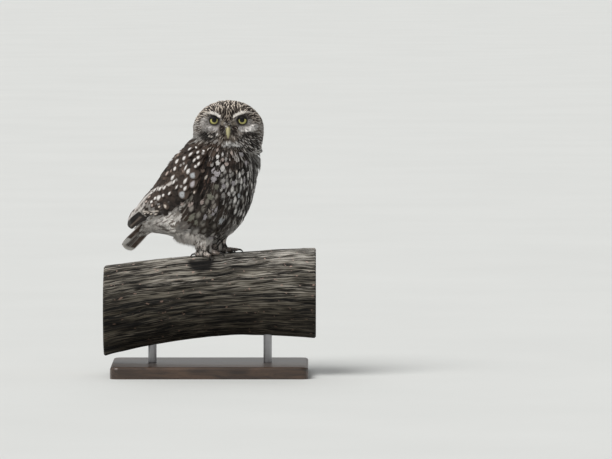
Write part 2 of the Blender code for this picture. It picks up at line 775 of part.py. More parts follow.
def claw(name, points):
    """A hooked claw that leaves the toe's end, arches and comes down on the bark."""
    tip = points[-1]
    along = (points[-1] - points[-2]).normalized()
    flat = Vector((along.x, along.y, 0)).normalized()
    step = CLAW_LENGTH / CLAW_STEPS
    path, radii = [tip - along * CLAW_SINK], [CLAW_RADIUS]
    for i in range(1, CLAW_STEPS + 1):
        share = i / CLAW_STEPS
        turn = math.radians(34 - 130 * share)
        path.append(path[-1] + step * (flat * math.cos(turn) + Vector((0, 0, 1)) * math.sin(turn)))
        radii.append(CLAW_RADIUS * (1 - share) ** 0.8 + CLAW_TIP_RADIUS)
    return tube(name, path, radii, 6, 1.0, parts, CLAW_HORN)


for sign, side_name in ((-1, "right"), (1, "left")):
    root = body_point(LEG_FORWARD[side_name] + 0.5 * MM, sign * LEG_SIDE, 0)
    shank = leg(sign, side_name, root)
    cut_clear(shank, torso)
    pad_up = branch_top(root.x, root.y) + 2.6 * MM
    pad_size = (5.6 * MM, 5.6 * MM, 3.6 * MM)
    foot = ball(f"foot_{side_name}", (root.x, root.y, pad_up), pad_size, 12, 7, parts, LEG_DOWN)
    toes, claws = [], []
    for toe_name, turn, length in TOES[side_name]:
        points = toe_line(root, turn, length)
        radii = [TOE_RADIUS * k for k in (1.1, 0.95, 1.05, 0.88, 0.66)]
        toes.append(tube(f"toe_{toe_name}", points, radii, 8, 0.9))
        claws.append(claw(f"claw_{side_name}_{toe_name}", points))
    cut_clear(shank, foot, *toes)
    boolean(foot, "UNION", toes)
    cut_clear(foot, branch)
    for one in claws:
        cut_clear(one, foot)
        cut_clear(one, branch)


# The stand: a flat base with softened edges and two rods up to the branch
def make_base():
    bm = bmesh.new()
    bmesh.ops.create_cube(bm, size=1.0)
    bmesh.ops.scale(bm, vec=(BASE_LENGTH, BASE_DEPTH, BASE_THICK), verts=bm.verts)
    bmesh.ops.translate(bm, vec=(0, 0, BASE_THICK / 2), verts=bm.verts)
    corners = [e for e in bm.edges if abs(e.verts[0].co.z - e.verts[1].co.z) > BASE_THICK / 2]
    bmesh.ops.bevel(bm, geom=corners, offset=9 * MM, segments=4, profile=0.5, affect="EDGES")
    rim = [e for e in bm.edges if all(v.co.z > BASE_THICK * 0.99 for v in e.verts) and len(e.link_faces) == 2]
    rim = [e for e in rim if any(abs(f.normal.z) < 0.5 for f in e.link_faces)]
    bmesh.ops.bevel(bm, geom=rim, offset=2.5 * MM, segments=2, profile=0.5, affect="EDGES")
    return new_object("stand_base", mesh_from(bm, "stand_base"), parts, STAND_WOOD)


def make_rod(name, x):
    bm = bmesh.new()
    low, high = BASE_THICK + GAP, branch_middle(x) - 0.7 * branch_radius(x)
    radii = {"radius1": ROD_RADIUS, "radius2": ROD_RADIUS}
    bmesh.ops.create_cone(bm, cap_ends=True, segments=20, depth=high - low, **radii)
    bmesh.ops.translate(bm, vec=(x, 0, (low + high) / 2), verts=bm.verts)
    rod = new_object(name, mesh_from(bm, name), parts, STAND_STEEL)
    return cut_clear(rod, branch)


make_base()
make_rod("stand_rod_left", -ROD_SPREAD)
make_rod("stand_rod_right", ROD_SPREAD)
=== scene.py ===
# %% [markdown]
# # A little owl on a museum stand
# This lesson dresses a life-size owl. The solid parts arrive first, as a fixed frame: everything that is made
# later is placed in the same metres, so a feather goes where the solid owl says, with no fitting.

# %% Load the frame
import math
import random

import bmesh
import bpy
import numpy as np
from mathutils import Matrix, Vector, noise
from mathutils.bvhtree import BVHTree
from mathutils.kdtree import KDTree


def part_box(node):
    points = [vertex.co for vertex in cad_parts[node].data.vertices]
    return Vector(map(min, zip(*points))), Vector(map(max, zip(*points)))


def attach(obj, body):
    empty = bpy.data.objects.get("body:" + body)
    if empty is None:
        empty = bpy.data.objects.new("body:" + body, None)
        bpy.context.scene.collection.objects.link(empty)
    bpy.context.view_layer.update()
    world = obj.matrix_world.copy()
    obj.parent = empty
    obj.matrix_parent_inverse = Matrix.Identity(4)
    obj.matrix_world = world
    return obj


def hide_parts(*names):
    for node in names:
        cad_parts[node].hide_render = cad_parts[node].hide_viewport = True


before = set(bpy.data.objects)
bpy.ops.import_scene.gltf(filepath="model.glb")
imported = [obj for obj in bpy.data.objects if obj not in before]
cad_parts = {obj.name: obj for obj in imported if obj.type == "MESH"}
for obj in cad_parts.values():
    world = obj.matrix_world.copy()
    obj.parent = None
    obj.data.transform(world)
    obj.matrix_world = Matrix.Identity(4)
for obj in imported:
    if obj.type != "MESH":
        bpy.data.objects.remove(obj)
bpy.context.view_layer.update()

MM = 0.001
print("solid nodes:", len(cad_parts))

# %% [markdown]
# ## Where the owl is
# Two small helpers turn the owl's own directions into the scene's. `body_place` takes millimetres forward, to the
# owl's left and up from the branch, and `head_place` does the same for the turned head. `in_body` and `in_head`
# go the other way. The named sizes are those of the solid owl, so that both agree.

# %% Places on the owl
BRANCH_TOP = 142.0
HEADING = math.radians(-35)
HEAD_FORWARD = 27.0
AHEAD = np.array((math.cos(HEADING), math.sin(HEADING), 0.0))
LEFT = np.array((-math.sin(HEADING), math.cos(HEADING), 0.0))
UP = np.array((0.0, 0.0, 1.0))


def body_place(forward, left, up):
    forward, left, up = (np.asarray(n, float)[..., None] for n in (forward, left, up))
    return (forward * AHEAD + left * LEFT + (up + BRANCH_TOP) * UP) * MM


HEAD_FOOT = body_place(HEAD_FORWARD, 0, 0)


def head_place(side, forward, up):
    side, forward, up = np.broadcast_arrays(*(np.asarray(n, float) for n in (side, forward, up)))
    return HEAD_FOOT + np.stack((side, -forward, up), -1) * MM


def in_body(points):
    """Forward, left and up of scene points, in millimetres."""
    p = np.asarray(points) / MM
    return p @ AHEAD, p @ LEFT, p[..., 2] - BRANCH_TOP


def in_head(points):
    """Side, forward and up of scene points for the turned head, in millimetres."""
    p = (np.asarray(points) - HEAD_FOOT) / MM
    return p[..., 0], -p[..., 1], p[..., 2]


def unit(vectors):
    return vectors / np.maximum(np.linalg.norm(vectors, axis=-1, keepdims=True), 1e-12)


def smooth(x, low, high):
    """0 below low, 1 above high, and an even curve between; low may be the larger one."""
    t = np.clip((np.asarray(x, float) - low) / (high - low), 0, 1)
    return t * t * (3 - 2 * t)


# %% [markdown]
# ## Camera, floor and light
# The photograph was taken with a long lens, almost level with the bird, so the camera stands eight metres off
# with a 400 mm lens and looks down by three degrees. The light was soft and came from above and from the left:
# a sun as wide as a bright cloud does that and lights the floor evenly, a weaker one glows from behind, and the
# sky fills in the rest.

# %% Studio
scene = bpy.context.scene
scene.view_settings.view_transform = "Standard"


def add_object(name, data):
    thing = bpy.data.objects.new(name, data)
    scene.collection.objects.link(thing)
    return thing


def mesh_of(bm, name):
    """The bmesh as a mesh; the bmesh is freed."""
    mesh = bpy.data.meshes.new(name)
    bm.to_mesh(mesh)
    bm.free()
    return mesh


def carry(piece, slot_name, *replaced):
    """The piece rides with the owl and may stand for solid nodes, which are hidden; slot_name is not used."""
    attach(piece, "root")
    if replaced:
        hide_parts(*replaced)
    return piece


def smooth_piece(bm, name, slot_name, *replaced):
    mesh = mesh_of(bm, name)
    mesh.polygons.foreach_set("use_smooth", [True] * len(mesh.polygons))
    return carry(add_object(name, mesh), slot_name, *replaced)


def aim(thing, place, target):
    thing.location = place
    thing.rotation_mode = "QUATERNION"
    thing.rotation_quaternion = (Vector(target) - Vector(place)).to_track_quat("-Z", "Y")


CAMERA_TARGET = Vector((0.1133, 0, 0.171))
CAMERA_FAR = 8.02
CAMERA_RISE = math.radians(3)
camera_data = bpy.data.cameras.new("photo_camera")
camera_data.lens = 400
camera_data.clip_end = 200
camera = add_object("photo_camera", camera_data)
camera_place = CAMERA_TARGET + CAMERA_FAR * Vector((0, -math.cos(CAMERA_RISE), math.sin(CAMERA_RISE)))
aim(camera, camera_place, CAMERA_TARGET)
scene.camera = camera

LAMPS = {
    # name: place it shines from, width in degrees, strength, colour
    "soft_key": ((-2.4, -2.2, 4.4), 38, 2.7, (1.0, 0.99, 0.97)),
    "back_glow": ((-0.4, 3.0, 3.4), 50, 0.7, (0.97, 0.99, 1.0)),
}
for name, (place, width, strength, colour) in LAMPS.items():
    lamp_data = bpy.data.lights.new(name, "SUN")
    lamp_data.angle = math.radians(width)
    lamp_data.energy = strength
    lamp_data.color = colour
    aim(add_object(name, lamp_data), place, (0, 0, 0.2))
sky = bpy.data.worlds.new("soft_sky")
sky.use_nodes = True
sky.node_tree.nodes["Background"].inputs["Color"].default_value = (0.93, 0.925, 0.91, 1)
sky.node_tree.nodes["Background"].inputs["Strength"].default_value = 0.34
scene.world = sky
print("camera at", [round(c, 3) for c in camera_place])

# %% [markdown]
# ## Finishes as arithmetic
# A finish is a small network of nodes. Wiring it by hand hides the idea, so one class wraps a socket: with it,
# `1 - mask` or `ridge * 0.4` adds the Math node that works it out. Any other node comes from `node`, which takes
# its settings first and then what goes into its sockets.

# %% Wires between nodes
class Wire:
    def __init__(self, socket):
        self.socket = socket

    def math(self, operation, *others):
        return node(self, "ShaderNodeMath", {"operation": operation}, dict(enumerate((self, *others))))

    def __add__(self, other):
        return self.math("ADD", other)

    def __mul__(self, other):
        return self.math("MULTIPLY", other)

    def __sub__(self, other):
        return self.math("SUBTRACT", other)

    def __rsub__(self, other):
        return node(self, "ShaderNodeMath", {"operation": "SUBTRACT"}, {0: other, 1: self})

    def __truediv__(self, other):
        return self.math("DIVIDE", other)

    def __pow__(self, other):
        return self.math("POWER", other)

    __radd__ = __add__
    __rmul__ = __mul__

    def rise(self, low, high):
        """0 where the wire is below low, 1 above high, and smooth between."""
        limits = {"Value": self, "From Min": low, "From Max": high}
        return node(self, "ShaderNodeMapRange", {"interpolation_type": "SMOOTHSTEP"}, limits)


def node(tree, kind, settings=None, sockets=None, out=0):
    """Adds one node; tree is a finish's node tree or any wire in it."""
    tree = tree.socket.id_data if isinstance(tree, Wire) else tree
    made = tree.nodes.new(kind)
    for key, value in (settings or {}).items():
        setattr(made, key, value)
    for key, value in (sockets or {}).items():
        if isinstance(value, Wire):
            tree.links.new(value.socket, made.inputs[key])
        else:
            made.inputs[key].default_value = value
    return Wire(made.outputs[out])


def mix(share, a, b, blend="MIX"):
    """Colour a where share is 0 and colour b where it is 1; a colour is a wire or red, green and blue."""
    a, b = (c if isinstance(c, Wire) else (*c, 1.0) for c in (a, b))
    return node(share, "ShaderNodeMix", {"data_type": "RGBA", "blend_type": blend}, {0: share, 6: a, 7: b}, 2)


def darken(share, colour, by):
    return mix(share, colour, by, "MULTIPLY")


def cloudy(place, scale, detail=3.0, rough=0.55):
    sockets = {"Vector": place, "Scale": scale, "Detail": detail, "Roughness": rough}
    return node(place, "ShaderNodeTexNoise", None, sockets)


def stretched(place, scale, move=(0, 0, 0)):
    return node(place, "ShaderNodeMapping", None, {"Vector": place, "Scale": scale, "Location": move})


def own_place(tree):
    """The piece's own coordinates in metres."""
    return node(tree, "ShaderNodeTexCoord", None, None, "Object")


def joined(**axes):
    return node(axes["X"], "ShaderNodeCombineXYZ", None, axes)


def parts_of(wire):
    split = node(wire, "ShaderNodeSeparateXYZ", None, {"Vector": wire})
    return [Wire(split.socket.node.outputs[i]) for i in range(3)]


def named(tree, attribute, out="Color"):
    return node(tree, "ShaderNodeAttribute", {"attribute_name": attribute}, None, out)


def shader_socket(made, key):
    shader = made.node_tree.nodes["Principled BSDF"]
    return shader.inputs[key.replace("_", " ").title().replace("Ior", "IOR")]


def finish(name, **fixed):
    """A new material and its tree; fixed holds the shader's own numbers, such as roughness=0.5."""
    made = bpy.data.materials.new(name)
    made.use_nodes = True
    for key, value in fixed.items():
        shader_socket(made, key).default_value = value
    return made, made.node_tree


def feed(made, **wires):
    for key, wire in wires.items():
        made.node_tree.links.new(wire.socket, shader_socket(made, key))
    return made


def bumpy(height, strength, distance):
    return node(height, "ShaderNodeBump", None, {"Strength": strength, "Distance": distance, "Height": height}, 0)


# %% [markdown]
# ## The floor
# A museum photographs its models on plain pale paper. The floor is one very wide sheet, because the far camera
# sees a long strip of it; a faint mottle keeps it from looking like a flat fill.

# %% Floor
def make_floor():
    bm = bmesh.new()
    bmesh.ops.create_grid(bm, x_segments=2, y_segments=2, size=60.0)
    floor = add_object("studio_floor", mesh_of(bm, "studio_floor"))
    paper, tree = finish("studio_paper", roughness=0.85)
    mottle = cloudy(own_place(tree), 3.0)
    feed(paper, base_color=mix(mottle, (0.6, 0.61, 0.6), (0.66, 0.67, 0.66)))
    floor.data.materials.append(paper)


make_floor()

# %% [markdown]
# ## The skin under the coat
# A real bird is one skin with feathers rooted in it. We copy the solid head, neck, torso, legs and feet, add the
# arms of the folded wings and the tail's root as curved plates, and melt everything into one closed surface with
# a voxel remesh. That surface is kept twice: where it is, it guides the tips of the coat, and drawn inwards by the
# coat's depth it becomes the skin.

# %% Envelopes of the body and the folded wing
TORSO_RINGS = np.array([
    # back forward, back up, belly forward, belly up, half-width
    (-93, 40, -82, 24, 15), (-85, 50, -59, 22, 26), (-75, 64, -34, 18, 37), (-65, 80, -2, 14, 44),
    (-54, 98, 27, 26, 46), (-42, 114, 47, 52, 46), (-32, 124, 56.5, 82, 45), (-25, 131, 60, 105, 44),
    (-15, 139, 56.5, 121, 39.5), (3, 149, 40, 133, 26),
], float)
WING_RINGS = np.array([
    (-14, 138, 67, 116, 45), (-30, 131, 63, 90, 49.5), (-44, 118, 52, 54, 51), (-57, 102, 31, 26, 50),
    (-69, 85, 1, 14, 47), (-83, 71, -31, 18, 40.5), (-95, 59, -58, 22, 31), (-105, 50, -82, 26, 22),
    (-114, 43, -99, 26, 14), (-122, 38, -112, 21, 8),
], float)
WING_EDGES = (([0, 1, 2, 4, 6, 8, 9], [52, 36, 27, 16, 9, 12, 30]),
              (range(10), [84, 104, 100, 92, 84, 78, 76, 78, 82, 85]))
TAIL_DROP = math.radians(40)
TAIL_DOWN = -math.cos(TAIL_DROP) * AHEAD - math.sin(TAIL_DROP) * UP
MIDLINE_CLEARANCE = 0.35


def ring_at(rings, s):
    """Catmull-Rom through the rings at any place s along them."""
    s = np.clip(np.asarray(s, float), 0, len(rings) - 1)
    i = np.minimum(s.astype(int), len(rings) - 2)
    t = (s - i)[..., None]
    last = len(rings) - 1
    p0, p1, p2, p3 = (rings[np.clip(i + k, 0, last)] for k in (-1, 0, 1, 2))
    return 0.5 * (2 * p1 + (p2 - p0) * t + (2 * p0 - 5 * p1 + 4 * p2 - p3) * t**2 + (3 * p1 - p0 - 3 * p2 + p3) * t**3)


def envelope(rings, s, turn):
    """Forward, left and up on an envelope; turn is degrees from the back, round by the owl's left."""
    row = ring_at(rings, s)
    angle = np.radians(turn)
    share = 0.5 - 0.5 * np.cos(angle)
    forward = row[..., 0] + (row[..., 2] - row[..., 0]) * share
    up = row[..., 1] + (row[..., 3] - row[..., 1]) * share
    return np.stack((forward, row[..., 4] * np.sin(angle), up), -1)


def wing_place(side, s, turn, height=0.0):
    """A scene point at this height off the wing's envelope; side is 1 for the left wing and -1 for the right."""
    s, turn, height = np.broadcast_arrays(*(np.asarray(n, float) for n in (s, turn, height)))
    here = envelope(WING_RINGS, s, turn)
    along = envelope(WING_RINGS, np.minimum(s + 0.05, 9), turn) - envelope(WING_RINGS, s - 0.05, turn)
    across = envelope(WING_RINGS, s, turn + 2) - envelope(WING_RINGS, s, turn - 2)
    out = unit(np.cross(along, across))
    out *= np.where(out @ np.array((0, 1, 0.4)) < 0, -1, 1)[..., None]
    p = here + out * height[..., None]
    return body_place(p[..., 0], side * np.maximum(p[..., 1], MIDLINE_CLEARANCE), p[..., 2])


def wing_limits(s):
    """Degrees of the folded wing's upper and lower edge at s."""
    return (np.interp(s, *edge) for edge in WING_EDGES)


def tail_root_up(forward, lift):
    """A height off the middle of the tail's root, which sinks towards the tail."""
    return 31.6 + lift + 0.48 * (forward + 88)


print("owl's back is", round(np.ptp(TORSO_RINGS[:, 1])), "mm high along its rings")

# %% Melt the flesh into one surface
GUIDE_VOXEL = 1.15 * MM
JOIN_SWELL = 0.25 * MM


def copy_of(names, swell=0.0):
    """The named solid nodes in one bmesh, merged and grown a little along their normals."""
    bm = bmesh.new()
    for name in names:
        bm.from_mesh(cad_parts[name].data)
    bmesh.ops.remove_doubles(bm, verts=bm.verts, dist=1e-6)
    bm.normal_update()
    for v in bm.verts:
        v.co += v.normal * swell
    return bm


def add_wing_plate(bm, side):
    """The folded arm as a grid laid on the wing's envelope, with a thickness inwards."""
    plate = bmesh.new()
    bmesh.ops.create_grid(plate, x_segments=30, y_segments=16, size=1.0)
    for v in plate.verts:
        s = 0.3 + 6.3 * (v.co.x * 0.5 + 0.5)
        low, high = wing_limits(s)
        turn = low + (high - low) * (v.co.y * 0.5 + 0.5)
        drop = 1.5 + 2.4 * v.co.y**4 + 3.0 * max(0.0, 1 - (s - 0.3) / 0.9) + 2.0 * max(0.0, s - 5.9)
        v.co = wing_place(side, s, turn, -drop)
    bmesh.ops.recalc_face_normals(plate, faces=plate.faces)
    bmesh.ops.solidify(plate, geom=plate.faces, thickness=6 * MM)
    mesh = mesh_of(plate, "wing_plate")
    bm.from_mesh(mesh)
    bpy.data.meshes.remove(mesh)


def melt():
    bm = copy_of(["torso", "neck", "head", "leg_right", "leg_left", "foot_right", "foot_left",
                  "eye_right", "eye_left", "bill_upper", "bill_lower"], JOIN_SWELL)
    for side in (-1, 1):
        add_wing_plate(bm, side)
    root = bmesh.ops.create_icosphere(bm, subdivisions=3, radius=1.0)["verts"]
    for v in root:
        forward = -92 + 15 * v.co.x
        v.co = body_place(forward, 12 * v.co.y, tail_root_up(forward, 8.5 * v.co.z))
    lump = add_object("flesh", mesh_of(bm, "flesh"))
    remesh = lump.modifiers.new("melt", "REMESH")
    remesh.mode = "VOXEL"
    remesh.voxel_size = GUIDE_VOXEL
    melted = bpy.data.meshes.new_from_object(lump.evaluated_get(bpy.context.evaluated_depsgraph_get()))
    bpy.data.objects.remove(lump)
    return melted


def keep_largest(mesh):
    """Drops every closed surface but the largest, such as a sealed hollow left inside."""
    bm = bmesh.new()
    bm.from_mesh(mesh)
    seen, best = set(), []
    for start in bm.verts:
        if start in seen:
            continue
        seen.add(start)
        group, todo = [], [start]
        while todo:
            v = todo.pop()
            group.append(v)
            for e in v.link_edges:
                other = e.other_vert(v)
                if other not in seen:
                    seen.add(other)
                    todo.append(other)
        best = max(best, group, key=len)
    best = set(best)
    bmesh.ops.delete(bm, geom=[v for v in bm.verts if v not in best], context="VERTS")
    bm.to_mesh(mesh)
    bm.free()


guide_mesh = melt()
keep_largest(guide_mesh)
print("guide surface:", len(guide_mesh.polygons), "faces")

# %% [markdown]
# ## Which part is which, and which way feathers lie
# Feathers lie from the bill over the head, and from the neck to the tail. To know this everywhere, we scatter
# samples whose part and direction are known: on the body's and the wings' rings, and on the solid head, legs and
# feet. Each point of the guide takes what its nearest sample says, and the directions are then smoothed.

# %% Samples of part and direction
PARTS = ["torso", "wing", "head", "leg", "foot", "tail"]
TORSO, WING, HEAD, LEG, FOOT, TAIL = range(6)
SOLID_PARTS = {"head": HEAD, "leg_right": LEG, "leg_left": LEG, "foot_right": FOOT, "foot_left": FOOT}


def torso_place(s, turn):
    p = envelope(TORSO_RINGS, s, turn)
    return body_place(p[..., 0], p[..., 1], p[..., 2])


def column(items, key, width, kind=float):
    """What every item holds, one row each, such as the places of a mesh's vertices."""
    out = np.empty(len(items) * width, kind)
    items.foreach_get(key, out)
    return out.reshape(-1, width)


def gridded(*axes):
    """Every combination of the axes' values, as flat lists."""
    return (g.ravel() for g in np.meshgrid(*axes))


def collect_samples():
    """Place, way, s, turn and part of every sample."""
    s, turn = gridded(np.linspace(0.05, 8.95, 72), np.arange(0, 360, 6))
    way = unit(torso_place(s - 0.05, turn) - torso_place(s + 0.05, turn))
    rows = [(torso_place(s, turn), way, s, turn, np.full(len(s), TORSO))]
    for side in (-1, 1):
        s, share = gridded(np.linspace(0.3, 7, 54), np.linspace(0, 1, 28))
        low, high = wing_limits(s)
        turn = low + (high - low) * share
        p = wing_place(side, s, turn, -1.0)
        way = unit(wing_place(side, s + 0.05, turn) - wing_place(side, s - 0.05, turn))
        rows.append((p, way, s, np.where(side > 0, turn, 360 - turn), np.full(len(s), WING)))
    plain = []
    for name, part in SOLID_PARTS.items():
        p = np.unique(column(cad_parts[name].data.vertices, "co", 3).round(6), axis=0)
        way = unit((p - p.mean(0)) * (1, 1, 0) + (0, 0, 1e-6)) if part == FOOT else np.tile(-UP, (len(p), 1))
        plain.append((p, way, part))
    forward, left, up = gridded(np.linspace(-110, -94, 6), np.linspace(-11, 11, 7), (-7, 7))
    p = body_place(forward, left, tail_root_up(forward, up))
    plain.append((p, np.tile(TAIL_DOWN, (len(p), 1)), TAIL))
    rows += [(p, way, np.zeros(len(p)), np.zeros(len(p)), np.full(len(p), part)) for p, way, part in plain]
    return [np.concatenate(values) for values in zip(*rows)]


def tree_of(points):
    tree = KDTree(len(points))
    for i, p in enumerate(points):
        tree.insert(p, i)
    tree.balance()
    return tree


sample_place, sample_way, sample_s, sample_turn, sample_part = collect_samples()
sample_tree = tree_of(sample_place)
print("samples:", len(sample_place))

# %% Give every point of the guide its part, place and lie
EYE_SIDE, EYE_UP = 16.3, 159.0
BILL_BASE = (0.0, 30.0, 149.5)


def averaged(values, edges, rounds, share=0.5):
    """Each value moved towards the mean of its neighbours, a few times."""
    values = values.copy()
    count = np.bincount(edges.ravel(), minlength=len(values)).astype(float)[:, None]
    for _ in range(rounds):
        total = np.zeros_like(values)
        for a, b in ((0, 1), (1, 0)):
            for axis in range(values.shape[1]):
                total[:, axis] += np.bincount(edges[:, a], values[edges[:, b], axis], len(values))
        values += (total / np.maximum(count, 1) - values) * np.asarray(share)
    return values


def head_lie(points):
    """From the bill over the crown, out from the eyes on the face, and down at the back of the head."""
    side, forward, up = in_head(points)
    way = unit(np.stack((side - BILL_BASE[0], -(forward - BILL_BASE[1]) * 0.6, up - BILL_BASE[2]), -1))
    back = smooth(-forward, -14, 24)[:, None]
    way = unit(way * (1 - back) + np.array((0, 0.25, -1.0)) * back)
    for sign in (-1, 1):
        away = np.stack((side - sign * EYE_SIDE, 0 * side, up - EYE_UP), -1)
        far = np.linalg.norm(away, axis=1)
        pull = np.exp(-((far / 13) ** 2)) * smooth(forward, 8, 16)
        way = unit(way + 2.4 * pull[:, None] * unit(away))
    return way


def onto_surface(ways, normals):
    return unit(ways - normals * np.sum(ways * normals, -1, keepdims=True))


guide_points = column(guide_mesh.vertices, "co", 3)
guide_edges = column(guide_mesh.edges, "vertices", 2, int)
nearest = np.array([sample_tree.find(p)[1] for p in guide_points])
guide_part, guide_s, guide_turn = sample_part[nearest], sample_s[nearest], sample_turn[nearest]
on_head = (guide_part == HEAD).astype(float)[:, None]
on_small = ((guide_part == HEAD) | (guide_part == FOOT)).astype(float)[:, None]
smoothing = 0.5 * (1 - averaged(on_small, guide_edges, 6))
guide_points = averaged(guide_points, guide_edges, 14, smoothing)
guide_points = averaged(guide_points, guide_edges, 1, 0.4)
guide_mesh.vertices.foreach_set("co", guide_points.ravel())
guide_mesh.update()
guide_normals = column(guide_mesh.vertices, "normal", 3)
guide_way = np.where(on_head > 0, head_lie(guide_points), sample_way[nearest])
for _ in range(5):
    guide_way = onto_surface(averaged(guide_way, guide_edges, 3), guide_normals)
guide_surface = BVHTree.FromPolygons(guide_points.tolist(), [tuple(p.vertices) for p in guide_mesh.polygons])
print({PARTS[k]: int((guide_part == k).sum()) for k in range(6)})

# %% [markdown]
# ## Finishing the skin
# The coat is about two millimetres deep on the body and thinner on the face, the legs and the toes. Drawn inwards
# by that depth, the guide becomes the skin. It is unwrapped once: every feather later takes a tiny patch of that
# same unwrap at its root, so the coat can share the skin's picture when the model is baked.

# %% Draw the skin inwards and unwrap it
COAT_DEPTH = {TORSO: 2.3, WING: 0.9, HEAD: 1.5, LEG: 1.5, FOOT: 0.35, TAIL: 1.6}
FACE_DEPTH = 0.7


def coat_depth():
    depth = np.array([COAT_DEPTH[k] for k in range(6)])[guide_part]
    face = (guide_part == HEAD) * smooth(in_head(guide_points)[1], 14, 24)
    depth = depth * (1 - face) + FACE_DEPTH * face
    return averaged(depth[:, None], guide_edges, 10)[:, 0]


def make_skin():
    depth = coat_depth()
    mesh = guide_mesh.copy()
    mesh.name = "skin"
    mesh.vertices.foreach_set("co", (guide_points - guide_normals * depth[:, None] * MM).ravel())
    mesh.polygons.foreach_set("use_smooth", [True] * len(mesh.polygons))
    skin = add_object("skin", mesh)
    bpy.context.view_layer.objects.active = skin
    skin.select_set(True)
    bpy.ops.object.mode_set(mode="EDIT")
    bpy.ops.mesh.select_all(action="SELECT")
    bpy.ops.uv.smart_project(angle_limit=math.radians(66), island_margin=0.001)
    bpy.ops.object.mode_set(mode="OBJECT")
    mesh.uv_layers[0].name = "OFBake"
    return skin, depth


skin, guide_depth = make_skin()
skin_uv = column(skin.data.uv_layers["OFBake"].uv, "vector", 2)
guide_corners = column(skin.data.loops, "vertex_index", 1, int).reshape(-1, 4)
face_uv = skin_uv.reshape(-1, 4, 2).mean(1)
print("skin unwrap spans", skin_uv.min(0).round(3), skin_uv.max(0).round(3))

# %% [markdown]
# ## What the photograph shows, named
# Markings are described by place. `photo_place` says where a point would fall in the photograph, and the far side
# is folded onto the near one, as a bird's sides match. A zone is a soft oval; the coat and the skin both ask the
# same function, so they carry the same markings.

# %% Places in the photograph
FOCAL, PHOTO_MIDDLE = 400 / 36 * 612, (306, 229.5)
CAMERA_AHEAD = np.array((0, math.cos(CAMERA_RISE), -math.sin(CAMERA_RISE)))
CAMERA_OVER = np.array((0, math.sin(CAMERA_RISE), math.cos(CAMERA_RISE)))


def photo_place(points, fold=True):
    """Across and down in the photograph's pixels; the owl's left side is folded onto its right."""
    if fold:
        forward, left, up = in_body(points)
        points = body_place(forward, -np.abs(left), up)
    to = np.asarray(points) - np.array(camera_place)
    far = to @ CAMERA_AHEAD
    return PHOTO_MIDDLE[0] + FOCAL * to[..., 0] / far, PHOTO_MIDDLE[1] - FOCAL * (to @ CAMERA_OVER) / far


def seen_place(points):
    """The pixel of each place on the body; what faces away from the camera takes its mirror image's pixel."""
    forward, left, _ = in_body(points)
    seen = -AHEAD[1] * (forward - 8) - LEFT[1] * left > 0
    return [np.where(seen, own, folded) for own, folded in zip(photo_place(points, False), photo_place(points))]


def zone(x, y, cx, cy, rx, ry, tilt=0.0, soft=0.35):
    """1 inside a soft oval and 0 outside; tilt turns its long axis clockwise in degrees."""
    a = math.radians(tilt)
    dx, dy = x - cx, y - cy
    along, over = (dx * math.cos(a) + dy * math.sin(a)) / rx, (dy * math.cos(a) - dx * math.sin(a)) / ry
    return smooth(np.hypot(along, over), 1 + soft, 1 - soft)


def lane(x, y, half, path):
    """1 on a named line through pixels, fading out past its half-width."""
    nearest = np.full(np.shape(x), 1e9)
    for (ax, ay), (bx, by) in zip(path, path[1:]):
        dx, dy = bx - ax, by - ay
        t = np.clip(((x - ax) * dx + (y - ay) * dy) / (dx * dx + dy * dy), 0, 1)
        nearest = np.minimum(nearest, np.hypot(x - ax - t * dx, y - ay - t * dy))
    return smooth(nearest, half + 0.9, half - 0.3)


def toward(values, share, goal):
    """Values moved to a goal by a share for each row."""
    share = np.asarray(share, float)
    if np.ndim(values) > np.ndim(share):
        share = share[..., None]
    return values * (1 - share) + np.asarray(goal, float) * share


# %% Colours of the coat
CHOCOLATE = (0.062, 0.043, 0.033)
DARK_BROWN = (0.028, 0.02, 0.016)
NEAR_BLACK = (0.012, 0.009, 0.008)
RED_BROWN = (0.095, 0.056, 0.041)
WHITE = (0.8, 0.78, 0.76)
CREAM = (0.66, 0.59, 0.52)
PALE_GREY = (0.36, 0.345, 0.33)
WARM_GREY = (0.17, 0.145, 0.125)
DARK, LIGHT = (0.016, 0.012, 0.01), (0.62, 0.58, 0.55)

print("the coat's darkest and lightest tones:", NEAR_BLACK, WHITE)

# %% Lines that the feathers' colours follow
BREAST_LANES = [
    # half-width, colour, path in the photograph's pixels
    (3, (0.04, 0.026, 0.02), [(232.5, 150), (232.3, 159), (233, 168)]),
    (1.5, DARK, [(234, 165.5), (234, 168)]), (1.4, DARK, [(237.5, 166), (237.5, 169)]),
    (1.4, DARK, [(247.5, 167), (247.5, 170)]), (1.5, DARK, [(238.7, 184.5), (238.7, 189.5)]),
    (1.3, DARK, [(246.7, 180.5), (246.7, 184)]), (1.5, DARK, [(215.9, 213.5), (215.9, 217)]),
    (1.2, DARK, [(226, 174.4), (216.8, 182), (219.5, 184), (218.5, 190)]),
    (0.9, DARK, [(228.5, 198.7), (227.5, 207)]),
    (1, DARK, [(240.6, 199.7), (237.2, 213.3), (233.3, 218.6)]),
    (1.5, DARK, [(230.4, 210.8), (227.5, 221), (220.2, 228.3)]),
    (1, DARK, [(247.9, 202), (245.9, 215)]), (1.1, DARK, [(213, 228), (211, 230), (207.6, 236.5)]),
    (1.2, DARK, [(221, 168), (215, 167.5), (208, 172)]), (1, DARK, [(243.5, 186), (241, 196)]),
    (1, DARK, [(224, 190), (222.5, 200), (219, 209)]), (1, DARK, [(212, 200), (206, 211), (203, 222)]),
    (0.8, DARK, [(252, 158), (254, 168), (253.5, 180)]), (0.8, DARK, [(250.5, 186), (249, 198)]),
]
